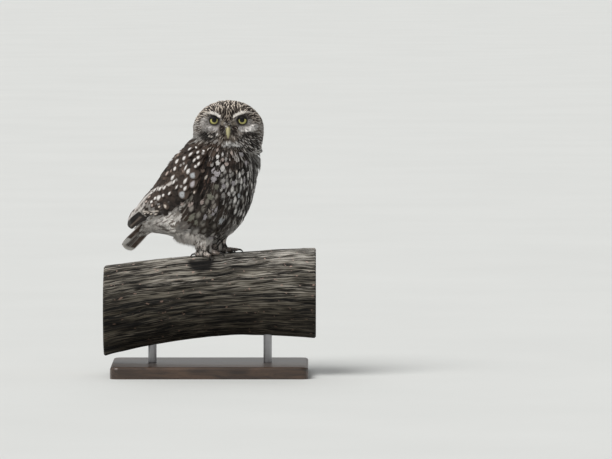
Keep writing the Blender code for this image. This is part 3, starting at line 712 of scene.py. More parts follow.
WING_LANES = [
    (1, LIGHT, [(175.5, 180.1), (164, 187.4), (158.8, 187.9), (152, 191.6)]),
    (0.45, LIGHT, [(152, 191.6), (145.7, 197.3), (142.1, 201.5), (135.8, 208.9), (133.7, 214.1)]),
    (0.45, LIGHT, [(144.1, 203.1), (142.6, 207.3), (137.9, 211.5), (134.5, 214.5)]),
    (3.2, NEAR_BLACK, [(137.5, 215.5), (127.5, 225.5)]), (0.5, LIGHT, [(132.5, 212.5), (131.5, 216), (127.8, 220)]),
    (0.4, CREAM, [(143, 211.5), (150, 212), (158, 211)]), (0.35, (0.3, 0.24, 0.2), [(140.5, 217), (131, 226)]),
    # the next two lines, along the wing's lower edge: dark feathers darkened further by painted shadow under the
    # greater coverts
    (1.6, DARK, [(182, 200), (175, 204.5), (165, 210.5), (157.5, 215.5), (149, 218.5)]),
    (1.7, DARK_BROWN, [(178, 200.5), (163, 206.5), (150, 208.5)]),
]


def laned(points, colours, lanes):
    """Colours of places on the body with the named lines drawn over them."""
    x, y = seen_place(points)
    for half, colour, path in lanes:
        colours = toward(colours, 0.92 * lane(x, y, half, path), colour)
    return colours


print("named lines:", len(BREAST_LANES), "on the breast and", len(WING_LANES), "on the wing")

# %% What a feather's look holds
class Look:
    """Ground and mark colours of a set of places, with how wide each pattern is from 0 to 1."""

    def __init__(self, count, ground=CHOCOLATE, mark=WHITE):
        self.ground = np.tile(ground, (count, 1)).astype(float)
        self.mark = np.tile(mark, (count, 1)).astype(float)
        self.spot = np.zeros(count)
        self.streak = np.zeros(count)
        self.bars = np.zeros(count)
        self.fringe = np.full(count, 0.3)
        self.tip = np.zeros(count)

    def paint(self, share, **goals):
        for key, goal in goals.items():
            setattr(self, key, toward(getattr(self, key), share, goal))

    def paint_all(self, rows):
        """Paints a table of shares and goals from its first row to its last; None leaves a value as it is."""
        for share, *goals in rows:
            named_goals = zip(("ground", "mark", "streak", "spot", "fringe"), goals)
            self.paint(share, **{key: goal for key, goal in named_goals if goal is not None})


print("a look holds", ", ".join(vars(Look(1))))

# %% Markings of the body
def body_look(look, points, on_wing, chance):
    x, y = seen_place(points)
    own_x, own_y = photo_place(points, False)
    torso = 1 - on_wing
    drift = np.array([noise.noise(Vector(p) * 90) for p in points])
    right = torso * smooth(x, 229, 235) * (chance > 0.2) * (chance < 0.78)
    chest = torso * zone(x, y, 224, 158, 27, 13)
    flank = torso * zone(x, y, 199, 206, 17, 25, 15)
    low = torso * zone(x, y, 213, 228, 17, 7, -15, 0.6)
    vent = torso * np.maximum(zone(x, y, 153, 223, 24, 10, -30), zone(x, y, 186, 240.5, 20, 6.5, 10, 0.55))
    vent = np.maximum(vent, torso * zone(x, y, 170, 227, 9, 10, -20, 0.5))
    edge = smooth(own_x, 248, 251) * (own_y < 182)
    look.paint_all((
        # share, ground, mark, streak, spot, fringe
        (torso, DARK_BROWN, (0.62, 0.6, 0.57), None, 1, 0.3),
        (torso * (chance > 0.72), None, (0.38, 0.365, 0.335), None, 0.85),
        (torso * (chance < 0.2), None, PALE_GREY, 0.2, 0),
        (right, (0.015, 0.011, 0.009), (0.86, 0.84, 0.81), None, 1),
        (chest * (chance < 0.8), DARK_BROWN, (0.27, 0.23, 0.205), 0.14, 0),
        (torso * zone(x, y, 205, 170, 12, 30, 5), DARK_BROWN, RED_BROWN, 0.3, 0),
        (torso * (y < 162) * zone(x, y, 196, 150, 19, 12), CHOCOLATE, WHITE, 0, 0),
        (flank, (0.042, 0.032, 0.026), (0.23, 0.215, 0.185), 0, 0.95, 0.15),
        (flank * (chance > 0.8), None, (0.33, 0.3, 0.27)),
        (flank * (chance < 0.35), None, None, None, 0),
        # the belly's underside: dull brownish-grey plumage, darkened further by painted shade beneath the body
        (low * (chance < 0.7), (0.038, 0.03, 0.023), (0.19, 0.175, 0.155), 0, 0.85),
        (torso * zone(x, y, 231, 233, 8, 4), (0.5, 0.48, 0.46), None, None, 0),
        (vent, (0.42, 0.4, 0.375), (0.18, 0.15, 0.125), 0.2, 0, 0.5),
        (vent * (chance > 0.55), (0.74, 0.71, 0.68)),
        (vent * (chance < 0.2), (0.17, 0.145, 0.125)),
        (torso * zone(x, y, 183, 219, 6, 8, 30), (0.06, 0.04, 0.03), None, 0.1, 0),
        (on_wing, CHOCOLATE, WHITE, 0, 0, 0.25),
        (on_wing * smooth(drift, -0.1, 0.35), (0.05, 0.034, 0.027)),
        (on_wing * zone(x, y, 176, 193, 17, 12, -30), (0.042, 0.029, 0.023), None, None, None, 0.1),
        (on_wing * (chance < 0.4), DARK_BROWN, None, None, None, 0.1),
        (on_wing * (chance > 0.96), (0.2, 0.155, 0.13), None, None, None, 0),
        (on_wing * zone(x, y, 208, 158, 8, 10, 20), RED_BROWN, None, None, None, 0.15),
        (zone(x, y, 204, 181, 8, 15), (0.016, 0.011, 0.009), RED_BROWN, 0.15, 0, 0.05),
        (edge, (0.52, 0.51, 0.49), NEAR_BLACK, 0.36, 0, 0.3),
    ))


print("body markings ready")

# %% Markings of the head
def brow_height(wide):
    """Height of the brow's line at a distance from the face's middle, in millimetres."""
    return np.interp(wide, [0, 3, 8, 15, 20, 26, 34], [156.5, 158.5, 162.6, 167.0, 168.2, 168.0, 164.5])


def head_look(look, points, chance):
    side, forward, up = in_head(points)
    wide = np.abs(side)
    front, throat = smooth(forward, 10, 18), smooth(forward, 2, 10)
    x, y = photo_place(points, fold=False)
    side_face = smooth(wide, 24, 29) * smooth(up, 166, 158)
    crown = smooth(up, 153, 162)
    forehead = front * smooth(wide, 12, 6) * smooth(up, 176, 168) * smooth(up, 152, 156)
    disc = front * smooth(np.hypot(wide / 32, (up - 150) / 21), 1.06, 0.9) * smooth(up - brow_height(wide), 1.2, -0.2)
    eye = np.hypot(wide - EYE_SIDE, up - EYE_UP)
    over_eye = front * smooth(eye, 7.7, 6.9) * smooth(up, 159, 161)
    chin = throat * zone(side, up, 0, 137.5, 14, 5.5)
    low = throat * smooth(up, 139, 136)
    left_neck = smooth(y, 142.5, 145.5) * smooth(x, 224, 220)
    look.paint_all((
        # share, ground, mark, streak, spot, fringe
        (np.ones(len(up)), (0.06, 0.043, 0.034), (0.46, 0.43, 0.41), 0.4, None, 0),
        (side_face, (0.17, 0.145, 0.125), (0.4, 0.38, 0.36), 0.4),
        (side_face * (chance < 0.35), (0.06, 0.048, 0.04)),
        (crown, (0.02, 0.013, 0.011), (0.78, 0.69, 0.59), 0.34),
        (crown * (chance < 0.25), None, None, 0.1),
        (crown * (chance > 0.85), CHOCOLATE),
        (forehead, (0.016, 0.011, 0.008), (0.6, 0.51, 0.42), 0.2),
        (forehead * (chance < 0.35), None, None, 0.05),
        (disc, (0.34, 0.325, 0.31), (0.02, 0.015, 0.012), 0.42, None, 0.2),
        (disc * (chance < 0.3), (0.6, 0.585, 0.57), None, 0.12),
        (disc * (chance > 0.88), (0.06, 0.05, 0.042)),
        (front * zone(wide, up, 6, 155.5, 3, 5.5), (0.33, 0.29, 0.235), (0.1, 0.08, 0.06), 0.2),
        (over_eye, (0.014, 0.011, 0.01), None, 0, None, 0),
        (front * smooth(eye, 6.9, 6.3), (0.035, 0.029, 0.026), None, 0, None, 0),
        (front * zone(wide, up, 18, 149.8, 9, 2.8), (0.62, 0.6, 0.59), (0.1, 0.08, 0.07), 0.14),
        (front * (side > 0) * zone(wide, up, 27.5, 149.2, 9.5, 3.9, 24), WHITE, (0.16, 0.13, 0.11), 0.12),
        (front * (side < 0) * zone(wide, up, 29, 156, 5, 8, 0), (0.5, 0.48, 0.46), (0.12, 0.1, 0.085), 0.25),
        (front * zone(wide, up, 17, 143.8, 9, 1.9), (0.4, 0.36, 0.325), None, 0.3),
        (front * zone(wide, up, 7.6, 149.2, 4.8, 4.6, 30), (0.016, 0.011, 0.008), None, 0, None, 0),
        (front * zone(side, up, 0, 155.3, 1.9, 1.8), NEAR_BLACK, None, 0),
        (front * zone(wide, up, 25, 139.8, 11, 5.6, 12, 0.2),
         (0.009, 0.006, 0.005), (0.3, 0.28, 0.26), 0.08, None, 0),
        (front * zone(wide, up, 26, 140.2, 11, 4.6, 12) * (chance < 0.1), (0.36, 0.33, 0.3)),
        (chin, (0.1, 0.074, 0.056), (0.42, 0.36, 0.3), 0.3),
        (chin * (chance < 0.26), (0.5, 0.45, 0.4), None, 0.1),
        (chin * (chance > 0.8), DARK_BROWN, None, 0),
        (low * (x > 238), (0.1, 0.085, 0.075), (0.55, 0.53, 0.51), 0.4),
        (low * (x > 238) * (chance < 0.45), NEAR_BLACK, None, 0.1),
        (throat * zone(x, y, 231, 146.2, 10, 2.2), (0.66, 0.655, 0.64), DARK_BROWN, 0.2),
        (throat * zone(x, y, 231, 151, 14, 2.2), DARK_BROWN, CREAM, 0.08),
        (zone(x, y, 191, 140, 8, 7), (0.34, 0.33, 0.315), (0.09, 0.075, 0.063), 0.3),
        (left_neck, CHOCOLATE, CREAM, 0),
        (left_neck * (chance < 0.35), DARK_BROWN, None, 0.3),
    ))


def coat_look(points, part, chance):
    look = Look(len(points))
    body_look(look, points, (part == WING).astype(float), chance)
    head = part == HEAD
    if head.any():
        own = Look(int(head.sum()))
        head_look(own, points[head], chance[head])
        for key, value in vars(own).items():
            getattr(look, key)[head] = value
    look.paint(part == LEG, ground=(0.84, 0.76, 0.7), mark=WHITE, streak=0.0, spot=0.0, fringe=0.4)
    look.paint(part == FOOT, ground=(0.4, 0.34, 0.3), mark=DARK_BROWN, streak=0.0, spot=0.0, fringe=0.2)
    look.paint(part == TAIL, ground=(0.46, 0.43, 0.4), mark=WARM_GREY, spot=0.0, streak=0.2, fringe=0.5)
    return look


print("a point on the brow falls at", [round(float(n), 1) for n in photo_place(head_place(-16.3, 33, 159), False)])

# %% [markdown]
# ## The finish of feathers and skin
# A feather's own map runs across it in x and from root to tip in y, so one finish can draw a pale drop near the
# tip, a streak down the middle, bars, or a pale fringe, each as wide as the feather's attributes say. Fine slanted
# lines are the barbs: painted shade in the gaps between them darkens the colour a little, and they lift a bump.
# Each feather also gets painted shade towards its root, where its neighbours cover it.

# %% Plumage finish
DROP_AT = 0.74


def plumage_finish():
    plumage, tree = finish("plumage", roughness=0.72, specular_ior_level=0.25)
    across, along, _ = parts_of(node(tree, "ShaderNodeUVMap", {"uv_map": "Feather"}))
    ground, mark = named(tree, "ground"), named(tree, "mark")
    spot, streak, bars = parts_of(named(tree, "pattern", "Vector"))
    fringe, seed, tip = parts_of(named(tree, "trim", "Vector"))
    off = (across * 2 - 1).math("ABSOLUTE")
    barbs = (along * 70 + off * 26 + seed * 40).math("SINE") * 0.5 + 0.5
    ragged = cloudy(joined(X=across * 3 + seed * 31, Y=along * 5, Z=seed * 17), 2.2)
    wobble = (ragged - 0.5) * 0.5
    taper = along.rise(0.4, 0.82) * 0.33 + 0.27
    drop = ((off / taper) ** 2 + ((along - DROP_AT) / 0.25) ** 2) ** 0.5 + wobble * 1.1
    drop_mask = (1 - drop.rise(spot - 0.62, spot + 0.22)) * spot.rise(0.0, 0.15)
    width = streak * along.rise(0.15, 0.8)
    streak_mask = (1 - (off + wobble * 0.6).rise(width - 0.12, width + 0.1)) * streak.rise(0.0, 0.1)
    bar_mask = ((along * 22).math("SINE") + wobble).rise(0.1, 0.6) * bars * off.rise(0.12, 0.3)
    mask = drop_mask.math("MAXIMUM", streak_mask).math("MAXIMUM", bar_mask)
    mask = mask * (ragged.rise(0.32, 0.52) * 0.45 + 0.55)
    pale = mix(fringe * 0.8, ground, (0.7, 0.67, 0.64))
    edge = (off + wobble * 0.4 + fringe * 0.1).rise(0.72, 0.98)
    edge = edge.math("MAXIMUM", (along + wobble * 0.1).rise(0.92, 0.99))
    colour = mix(mask, mix(edge * fringe, ground, pale), mark)
    colour = mix((along + wobble * 0.1).rise(0.86, 0.92) * tip, colour, (0.95, 0.92, 0.88))
    # painted shade: each feather darkens towards its root, where its neighbours cover it
    colour = darken(1 - along.rise(0.1, 0.6), colour, (0.5, 0.47, 0.45))
    # painted shade in the gaps between the barbs, plus uneven tone from the ragged noise
    colour = darken((1 - barbs) * 0.22 + (ragged - 0.5).math("ABSOLUTE") * 0.7, colour, (0.35, 0.33, 0.32))
    return feed(plumage, base_color=colour, normal=bumpy(barbs * 0.6 + ragged * 0.4, 0.35, 0.0004))


def skin_finish():
    hide, tree = finish("skin_down", roughness=0.85, specular_ior_level=0.2)
    fuzz, patchy = (cloudy(own_place(tree), scale) for scale in (1400.0, 260.0))
    colour = mix(patchy.rise(0.4, 0.62) * 0.6, named(tree, "ground"), named(tree, "mark"))
    return feed(hide, base_color=darken(fuzz, colour, (0.45, 0.42, 0.4)), normal=bumpy(fuzz, 0.5, 0.0006))


PLUMAGE = plumage_finish()
SKIN_DOWN = skin_finish()
print("finishes:", PLUMAGE.name, SKIN_DOWN.name)

# %% Dress the skin
def set_attribute(mesh, name, kind, values):
    layer = mesh.attributes.new(name, kind, "POINT")
    layer.data.foreach_set("color" if kind == "FLOAT_COLOR" else "vector", np.ascontiguousarray(values, float).ravel())


def with_alpha(colours):
    return np.concatenate((colours, np.ones((len(colours), 1))), 1)


def dress_skin():
    chance = np.random.default_rng(5).random(len(guide_points))
    look = coat_look(guide_points, guide_part, chance)
    cover = np.clip(look.spot + look.streak, 0, 0.6)[:, None]
    blended = laned(guide_points, look.ground * (1 - 0.5 * cover) + look.mark * 0.5 * cover, BREAST_LANES)
    set_attribute(skin.data, "ground", "FLOAT_COLOR", with_alpha(averaged(blended, guide_edges, 3)))
    set_attribute(skin.data, "mark", "FLOAT_COLOR", with_alpha(averaged(look.ground * 0.6, guide_edges, 3)))
    skin.data.materials.append(SKIN_DOWN)
    carry(skin, "plumage_pale", "head", "neck", "torso", "wing_right", "wing_left", "tail", "leg_right", "leg_left",
          "foot_right", "foot_left")


dress_skin()
print("skin:", len(skin.data.polygons), "faces")

# %% [markdown]
# ## One feather, shaped once
# A feather is a small grid of a few dozen faces: narrow at the root, widest past the middle and round at the tip.
# The soft kind is narrower and has loose barbs that reach past its edge, which is what makes a breast look downy.
# Here a feather lies flat, with x across and y from root to tip; later each copy is bent along the body.

# %% Feather shapes
class Shape:
    """A feather's points (across, along, lift) and faces, taken from a bmesh."""

    def __init__(self, bm):
        bm.verts.ensure_lookup_table()
        self.points = np.array([v.co for v in bm.verts])
        self.faces = np.array([[v.index for v in f.verts] for f in bm.faces])
        bm.free()


def add_vane(bm, across, along, outline, camber=0.0, crowd=1.6):
    """A grid shaped by its outline, with its rows closer together towards the tip."""
    made = bmesh.ops.create_grid(bm, x_segments=across, y_segments=along, size=1.0)["verts"]
    for v in made:
        u, share = v.co.x, v.co.y * 0.5 + 0.5
        far = 1 - (1 - share) ** crowd
        v.co = (u * float(np.interp(far, *outline)), far, -camber * u * u)


def add_barb(bm, start, end, width, bend=0.0, steps=2):
    """A loose barb: a thin strip from one place on the feather to another past its edge."""
    made = bmesh.ops.create_grid(bm, x_segments=1, y_segments=steps, size=1.0)["verts"]
    start, end = Vector(start), Vector(end)
    over = Vector((-(end - start).y, (end - start).x)).normalized()
    for v in made:
        share = v.co.y * 0.5 + 0.5
        spot = start.lerp(end, share) + over * (bend * math.sin(math.pi * share) + v.co.x * width * (1 - 0.85 * share))
        v.co = (spot.x, spot.y, 0.03 + 0.06 * share)


ROUND = ([0, 0.15, 0.35, 0.6, 0.78, 0.9, 0.97, 1.0], [0.22, 0.5, 0.85, 1.0, 0.93, 0.7, 0.42, 0.15])
SLIM = ([0, 0.2, 0.5, 0.75, 0.92, 1.0], [0.5, 0.9, 1.0, 0.8, 0.45, 0.1])
LONG = ([0, 0.05, 0.2, 0.6, 0.85, 0.93, 0.98, 1.0], [0.3, 0.6, 0.9, 1.0, 0.98, 0.9, 0.74, 0.52])


def round_feather(across=4, along=5):
    bm = bmesh.new()
    add_vane(bm, across, along, ROUND)
    return Shape(bm)


def soft_feather(seed):
    """A narrow vane with loose barbs at its sides and tip."""
    draw = random.Random(seed)
    bm = bmesh.new()
    add_vane(bm, 4, 4, ([0, 0.3, 0.6, 0.8, 0.93, 1.0], [0.3, 0.75, 0.86, 0.74, 0.45, 0.18]))
    for k in range(9):
        side = -1 if k % 2 else 1
        low = 0.45 + 0.055 * k
        reach = float(np.interp(low + 0.2, [0.5, 0.75, 1.0], [1.2, 1.1, 0.35]))
        start = (side * 0.45 * draw.uniform(0.6, 1.0), low)
        end = (side * reach * draw.uniform(0.85, 1.1), low + draw.uniform(0.16, 0.26))
        add_barb(bm, start, end, 0.11, bend=draw.uniform(-0.04, 0.04))
    return Shape(bm)


def slim_feather(along=3):
    bm = bmesh.new()
    add_vane(bm, 2, along, SLIM)
    return Shape(bm)


def tuft(strands, seed):
    """A few thin strands that spread from one root, for down and for hair-like feathers."""
    draw = random.Random(seed)
    bm = bmesh.new()
    for k in range(strands):
        spread = -1 + 2 * (k + 0.5) / strands
        end = (spread * draw.uniform(0.9, 1.4), draw.uniform(0.75, 1.05))
        add_barb(bm, (spread * 0.3, 0.0), end, 0.22, bend=draw.uniform(-0.15, 0.15))
    return Shape(bm)


print("faces in a round and a soft feather:", len(round_feather().faces), len(soft_feather(1).faces))

# %% [markdown]
# ## Laying feathers along the body
# Each feather starts at its root and walks over the guide in the direction of the lie, and every step is put back
# onto the surface. That gives a spine with a normal at each step. The flat shape is then bent along the spine and
# rises from under its neighbours at the root to the coat's surface at the tip.

# %% Walk spines over the guide
def face_mean(values):
    return values[guide_corners].mean(1)


face_way = unit(face_mean(guide_way))
STEPS = np.linspace(0, 1.12, 6)


def walk(points, ways, lengths):
    """Spines of the feathers: places, normals and ways at each of STEPS."""
    count = len(points)
    place = np.empty((count, len(STEPS), 3))
    normal, way = np.empty_like(place), np.empty_like(place)
    for i in range(count):
        here, going = Vector(points[i]), Vector(ways[i])
        here, up, face, _ = guide_surface.find_nearest(here)
        going = (going - up * going.dot(up)).normalized()
        for k in range(len(STEPS)):
            if k:
                step = lengths[i] * MM * (STEPS[k] - STEPS[k - 1])
                found, up, face, _ = guide_surface.find_nearest(here + going * step)
                here = found
                going = going * 0.6 + Vector(face_way[face]) * 0.4
                going = (going - up * going.dot(up)).normalized()
            place[i, k], normal[i, k], way[i, k] = here, up, going
    return place, normal, way


def bend_shapes(shape, spine, widths, low, high, camber, roll):
    """Places every point of the shape on every spine; the sizes are in mm, one for all or one for each."""
    place, normal, way = spine
    widths, low, high, camber, roll = (np.broadcast_to(n, len(place)) for n in (widths, low, high, camber, roll))
    across, along, lift = shape.points.T
    steps = len(STEPS)
    weight = np.zeros((len(along), steps))
    at = np.clip(np.interp(along, STEPS, np.arange(steps)), 0, steps - 1.001)
    base = at.astype(int)
    weight[np.arange(len(along)), base] = 1 - (at - base)
    weight[np.arange(len(along)), base + 1] = at - base
    p = np.einsum("ts,nsc->ntc", weight, place)
    n = unit(np.einsum("ts,nsc->ntc", weight, normal))
    w = np.einsum("ts,nsc->ntc", weight, way)
    side = unit(np.cross(w, n))
    rise = low[:, None] + (high - low)[:, None] * smooth(along, 0.0, 0.85)
    height = rise - camber[:, None] * across**2 + roll[:, None] * across + lift * widths[:, None]
    return p + (side * (across * widths[:, None])[..., None] + n * height[..., None]) * MM


def one_each(values, count):
    return np.repeat(values[:, None], count, 1).reshape(-1, *values.shape[1:])


PATCH = 0.003


def feather_mesh(name, shape, points, look, root_uv, seeds, slot_name, lanes=()):
    """Joins the bent feathers into one piece with its maps and attributes."""
    count, size = points.shape[:2]
    faces = (shape.faces[None] + np.arange(count)[:, None, None] * size).reshape(-1, 4)
    mesh = bpy.data.meshes.new(name)
    mesh.vertices.add(count * size)
    mesh.vertices.foreach_set("co", points.ravel())
    mesh.loops.add(faces.size)
    mesh.loops.foreach_set("vertex_index", faces.ravel())
    mesh.polygons.add(len(faces))
    mesh.polygons.foreach_set("loop_start", np.arange(0, faces.size, 4))
    mesh.polygons.foreach_set("use_smooth", np.ones(len(faces), bool))
    across = np.clip(shape.points[:, 0], -0.97, 0.97) * 0.5 + 0.5
    own = np.stack((across, np.clip(shape.points[:, 1], 0, 0.995)), -1)
    corner = shape.faces.ravel()
    mesh.uv_layers.new(name="Feather").uv.foreach_set("vector", np.tile(own[corner], (count, 1)).ravel())
    patch = root_uv[:, None] + (own[corner] - 0.5) * PATCH
    mesh.uv_layers.new(name="OFBake").uv.foreach_set("vector", patch.ravel())
    mesh.update(calc_edges=True)
    for key in ("ground", "mark"):
        colours = laned(points.reshape(-1, 3), one_each(getattr(look, key), size), lanes)
        set_attribute(mesh, key, "FLOAT_COLOR", with_alpha(colours))
    pattern = np.stack((look.spot, look.streak, look.bars), -1)
    set_attribute(mesh, "pattern", "FLOAT_VECTOR", one_each(pattern, size))
    set_attribute(mesh, "trim", "FLOAT_VECTOR", one_each(np.stack((look.fringe, seeds, look.tip), -1), size))
    mesh.materials.append(PLUMAGE)
    carry(add_object(name, mesh), slot_name)
    print(f"{name}: {count} feathers, {2 * len(faces)} triangles")


# %% [markdown]
# ## Throwing the roots
# Real feathers grow evenly but not in a grid. Many candidate roots are scattered over the guide, and they are
# accepted in random order: each accepted root drops the candidates that are nearer than its own spacing.

# %% Candidates and spacing
def scatter(count, weight, seed):
    """Random places on the guide, more where the weight of a face is larger."""
    draw = np.random.default_rng(seed)
    corners = guide_points[guide_corners]
    area = np.linalg.norm(np.cross(corners[:, 2] - corners[:, 0], corners[:, 3] - corners[:, 1]), axis=1) / 2
    share = area * weight
    face = draw.choice(len(area), count, p=share / share.sum())
    a, b = draw.random((2, count, 1))
    blend = np.concatenate(((1 - a) * (1 - b), a * (1 - b), a * b, (1 - a) * b), 1)
    pick = guide_corners[face]
    near = pick[np.arange(count), blend.argmax(1)]
    place = np.einsum("nk,nkc->nc", blend, guide_points[pick])
    way = unit(np.einsum("nk,nkc->nc", blend, guide_way[pick]))
    return {"place": place, "way": way, "part": guide_part[near], "depth": guide_depth[near], "uv": face_uv[face],
            "s": guide_s[near], "turn": guide_turn[near], "normal": guide_normals[near]}


def only(rows, keep):
    return {key: value[keep] for key, value in rows.items()}


def thrown(rows, gaps, stretch=1.0):
    """Accepts roots so that none is nearer to another than its gap in mm, and stretch times that along the lie."""
    gaps = np.broadcast_to(gaps, len(rows["s"]))
    tree = tree_of(rows["place"])
    alive = np.ones(len(gaps), bool)
    chosen = []
    for i in range(len(gaps)):
        if alive[i]:
            chosen.append(i)
            gap = gaps[i] * MM
            near = np.array([other for _, other, _ in tree.find_range(rows["place"][i], gap * stretch)])
            off = rows["place"][near] - rows["place"][i]
            along = off @ rows["way"][i]
            over = np.sum(off * off, 1) - along**2
            alive[near[over + (along / stretch) ** 2 < gap * gap]] = False
    return only(rows, np.array(chosen))


def turned(ways, normals, degrees):
    """Each way turned about its normal."""
    a = np.radians(degrees)[:, None]
    return ways * np.cos(a) + np.cross(normals, ways) * np.sin(a)


def plant(name, rows, shape, length, width, high, slot_name, seed, sway=9, camber=0.5, lift=None, change=None,
          lanes=(), tone=0.14):
    """Grows one feather from every root. Sizes in millimetres may be numbers or one for each root."""
    count = len(rows["place"])
    draw = np.random.default_rng(seed)
    lengths = length * draw.uniform(0.86, 1.14, count)
    widths = width * draw.uniform(0.88, 1.12, count)
    spine = walk(rows["place"], turned(rows["way"], rows["normal"], draw.normal(0, sway, count)), lengths)
    low = -rows["depth"] - 0.1 if lift is None else lift
    high = high + draw.normal(0, 0.16, count)
    bends = camber * draw.uniform(0.7, 1.3, count), draw.normal(0, 0.22, count)
    points = bend_shapes(shape, spine, widths, low, high, *bends)
    look = coat_look(spine[0][:, 4], rows["part"], draw.random(count))
    look.ground *= draw.normal(1, tone, count).clip(0.6, 1.4)[:, None]
    if change:
        change(look, spine[0][:, 4], rows, draw)
    feather_mesh(name, shape, points, look, rows["uv"], draw.random(count), slot_name, lanes)


# %% [markdown]
# ## The body coat
# The back and the shoulders carry firm round feathers, and the breast, the flanks and the vent carry soft ones
# with loose barbs. They are small at the neck and longest under the tail. Three soft shapes are mixed so that no
# two neighbours match.

# %% Plant the body
body_faces = np.isin(guide_part[guide_corners[:, 0]], (TORSO, WING, TAIL)).astype(float)
body_rows = scatter(60000, body_faces, 11)


def plant_back():
    """Small feathers on the shoulder, larger ones down to the long feathers."""
    bands = ((0, 2.6, 2.9, 10.5, 3.2, 1.75), (2.6, 4.7, 3.7, 14.0, 4.4, 2.0))
    for k, (first, last, gap, length, width, high) in enumerate(bands):
        rows = only(body_rows, (body_rows["part"] == WING) & (body_rows["s"] >= first) & (body_rows["s"] < last))
        rows = thrown(rows, gap, 1.25)
        plant(f"coat_back_{k + 1}", rows, round_feather(), length, width, high, "plumage_brown", 21 + k,
              change=spots_out_of_sight, lanes=WING_LANES, tone=0.22)


def spots_out_of_sight(look, points, rows, draw):
    """White drops where the photograph doesn't show the back, about as many as on the side it shows."""
    _, left, _ = in_body(rows["normal"] * MM + body_place(0, 0, 0))
    up = rows["normal"][:, 2]
    hidden = (np.abs(left) < 0.35) | (up > 0.75)
    look.paint((rows["part"] == WING) & hidden & (draw.random(len(points)) < 0.3), spot=0.85, mark=WHITE)


def plant_front():
    """Small feathers at the neck, larger and softer ones down the breast to the flanks, long ones under the tail."""
    rows = only(body_rows, body_rows["part"] == TORSO)

    def sizes_at(rows):
        up = in_body(rows["place"])[2]
        return smooth(up, 96, 134), smooth(up, 90, 55), zone(*seen_place(rows["place"]), 203, 210, 19, 25, 10)

    neck, low, flank = sizes_at(rows)
    rows = thrown(rows, 3.5 - 1.1 * neck + 0.5 * low + 1.5 * flank, 2.1 - 0.3 * flank.mean())
    neck, low, flank = sizes_at(rows)
    rim = zone(*seen_place(rows["place"]), 260, 154, 7, 7)
    for k in range(3):
        pick = np.arange(len(rows["s"])) % 3 == k
        length = 19.5 - 9.5 * neck + 4.0 * low + 2.0 * flank
        width = 4.1 - 1.7 * neck + 0.6 * low + 1.7 * flank
        high = 0.35 - 0.2 * neck + 0.4 * low + 2.4 * rim
        plant(f"coat_front_{k + 1}", only(rows, pick), soft_feather(k), length[pick], width[pick], high[pick],
              "plumage_pale", 31 + k, sway=11, lanes=BREAST_LANES, tone=0.25)
    edge = (body_rows["part"] == TORSO) & (zone(*seen_place(body_rows["place"]), 260, 155, 6, 7) > 0.5)
    plant("coat_front_rim", thrown(only(body_rows, edge), 1.7, 1.5), soft_feather(5), 10.0, 1.9, 2.7,
          "plumage_pale", 35, sway=12, tone=0.3)


def plant_tail_root():
    rows = thrown(only(body_rows, body_rows["part"] == TAIL), 3.4)
    plant("coat_tail_root", rows, soft_feather(9), 17.0, 4.2, 1.2, "plumage_pale", 41)


plant_back()
plant_front()
plant_tail_root()

# %% Hang the loose tufts
def grown(start, ways, lengths):
    """Places along free spines that leave their starts in the given ways."""
    place = np.empty_like(ways)
    place[:, 0] = start
    for k in range(1, len(STEPS)):
        place[:, k] = place[:, k - 1] + ways[:, k] * (lengths * (STEPS[k] - STEPS[k - 1]) * MM)[:, None]
    return place


def hang(rows, lengths, down, out=0.15):
    """Free spines that leave the body along its lie and sink downwards."""
    way = np.stack([unit(rows["way"] * (1 - 0.5 * share) + rows["normal"] * out - UP * down * share)
                    for share in STEPS], 1)
    place = grown(rows["place"] - rows["normal"] * 1.2 * MM, way, lengths)
    return place, onto_surface(np.repeat(rows["normal"][:, None], len(STEPS), 1), way), way


def plant_fluff():
    """Loose tufts that hang from the vent and the belly's lower edge over the legs' upper ends."""
    x, y = photo_place(body_rows["place"])
    belly = (body_rows["part"] == TORSO) & (body_rows["normal"][:, 2] < 0.1)
    edges = (
        # where, gap, length, how far it sinks, share of pale tufts
        (zone(x, y, 194, 238, 16, 7, 8), 2.0, 11.0, 1.1, 0.8), (zone(x, y, 156, 226, 18, 7, -28), 2.4, 10.0, 0.1, 0.7),
        (zone(x, y, 224, 231, 14, 5, -25), 3.6, 5.0, 0.6, 0.2),
    )
    for k, (inside, gap, length, down, pale) in enumerate(edges):
        chosen = only({**body_rows, "inside": inside}, belly & (inside > 0.3))
        rows = thrown(chosen, gap)
        draw = np.random.default_rng(43 + k)
        count = len(rows["s"])
        lengths = length * (0.35 + 0.65 * rows["inside"]) * draw.uniform(0.7, 1.2, count)
        shape = tuft(9, 6 + k)
        points = bend_shapes(shape, hang(rows, lengths, down), 1.8, 0, 0, 0, 0)
        look = coat_look(points[:, -1], rows["part"], draw.random(count))
        look.paint(draw.random(count) < pale, ground=(0.72, 0.68, 0.64), streak=0.0)
        look.ground *= draw.uniform(0.62, 1.15, count)[:, None]
        feather_mesh(f"coat_fluff_{k + 1}", shape, points, look, rows["uv"], draw.random(count), "plumage_pale")


plant_fluff()

# %% [markdown]
# ## The head coat
# The crown's feathers are tiny, and each is dark with a cream streak, so together they draw fine rays from the
# bill over the head. The face has the smallest feathers of all, more like hair. None may cover an eye or the bill.

# %% Plant the head
head_faces = (guide_part[guide_corners[:, 0]] == HEAD).astype(float)
head_front = smooth(in_head(guide_points)[1], 8, 16)[guide_corners].mean(1)
head_rows = scatter(70000, head_faces * (1 + 2.5 * head_front), 12)


def clear_of_face_parts(rows):
    side, forward, up = in_head(rows["place"])
    eye = np.hypot(np.abs(side) - EYE_SIDE, up - EYE_UP)
    bill = (np.abs(side) < 3.7) & (up > 136.5) & (up < 154) & (forward > 24)
    return only(rows, ~((eye < 6.6) & (forward > 10)) & ~bill)


def disc_share(rows):
    side, forward, up = in_head(rows["place"])
    under = smooth(up - brow_height(np.abs(side)), 1.0, -0.2)
    return smooth(forward, 9, 16) * smooth(np.hypot(side / 33, (up - 150) / 23), 1.06, 0.94) * under


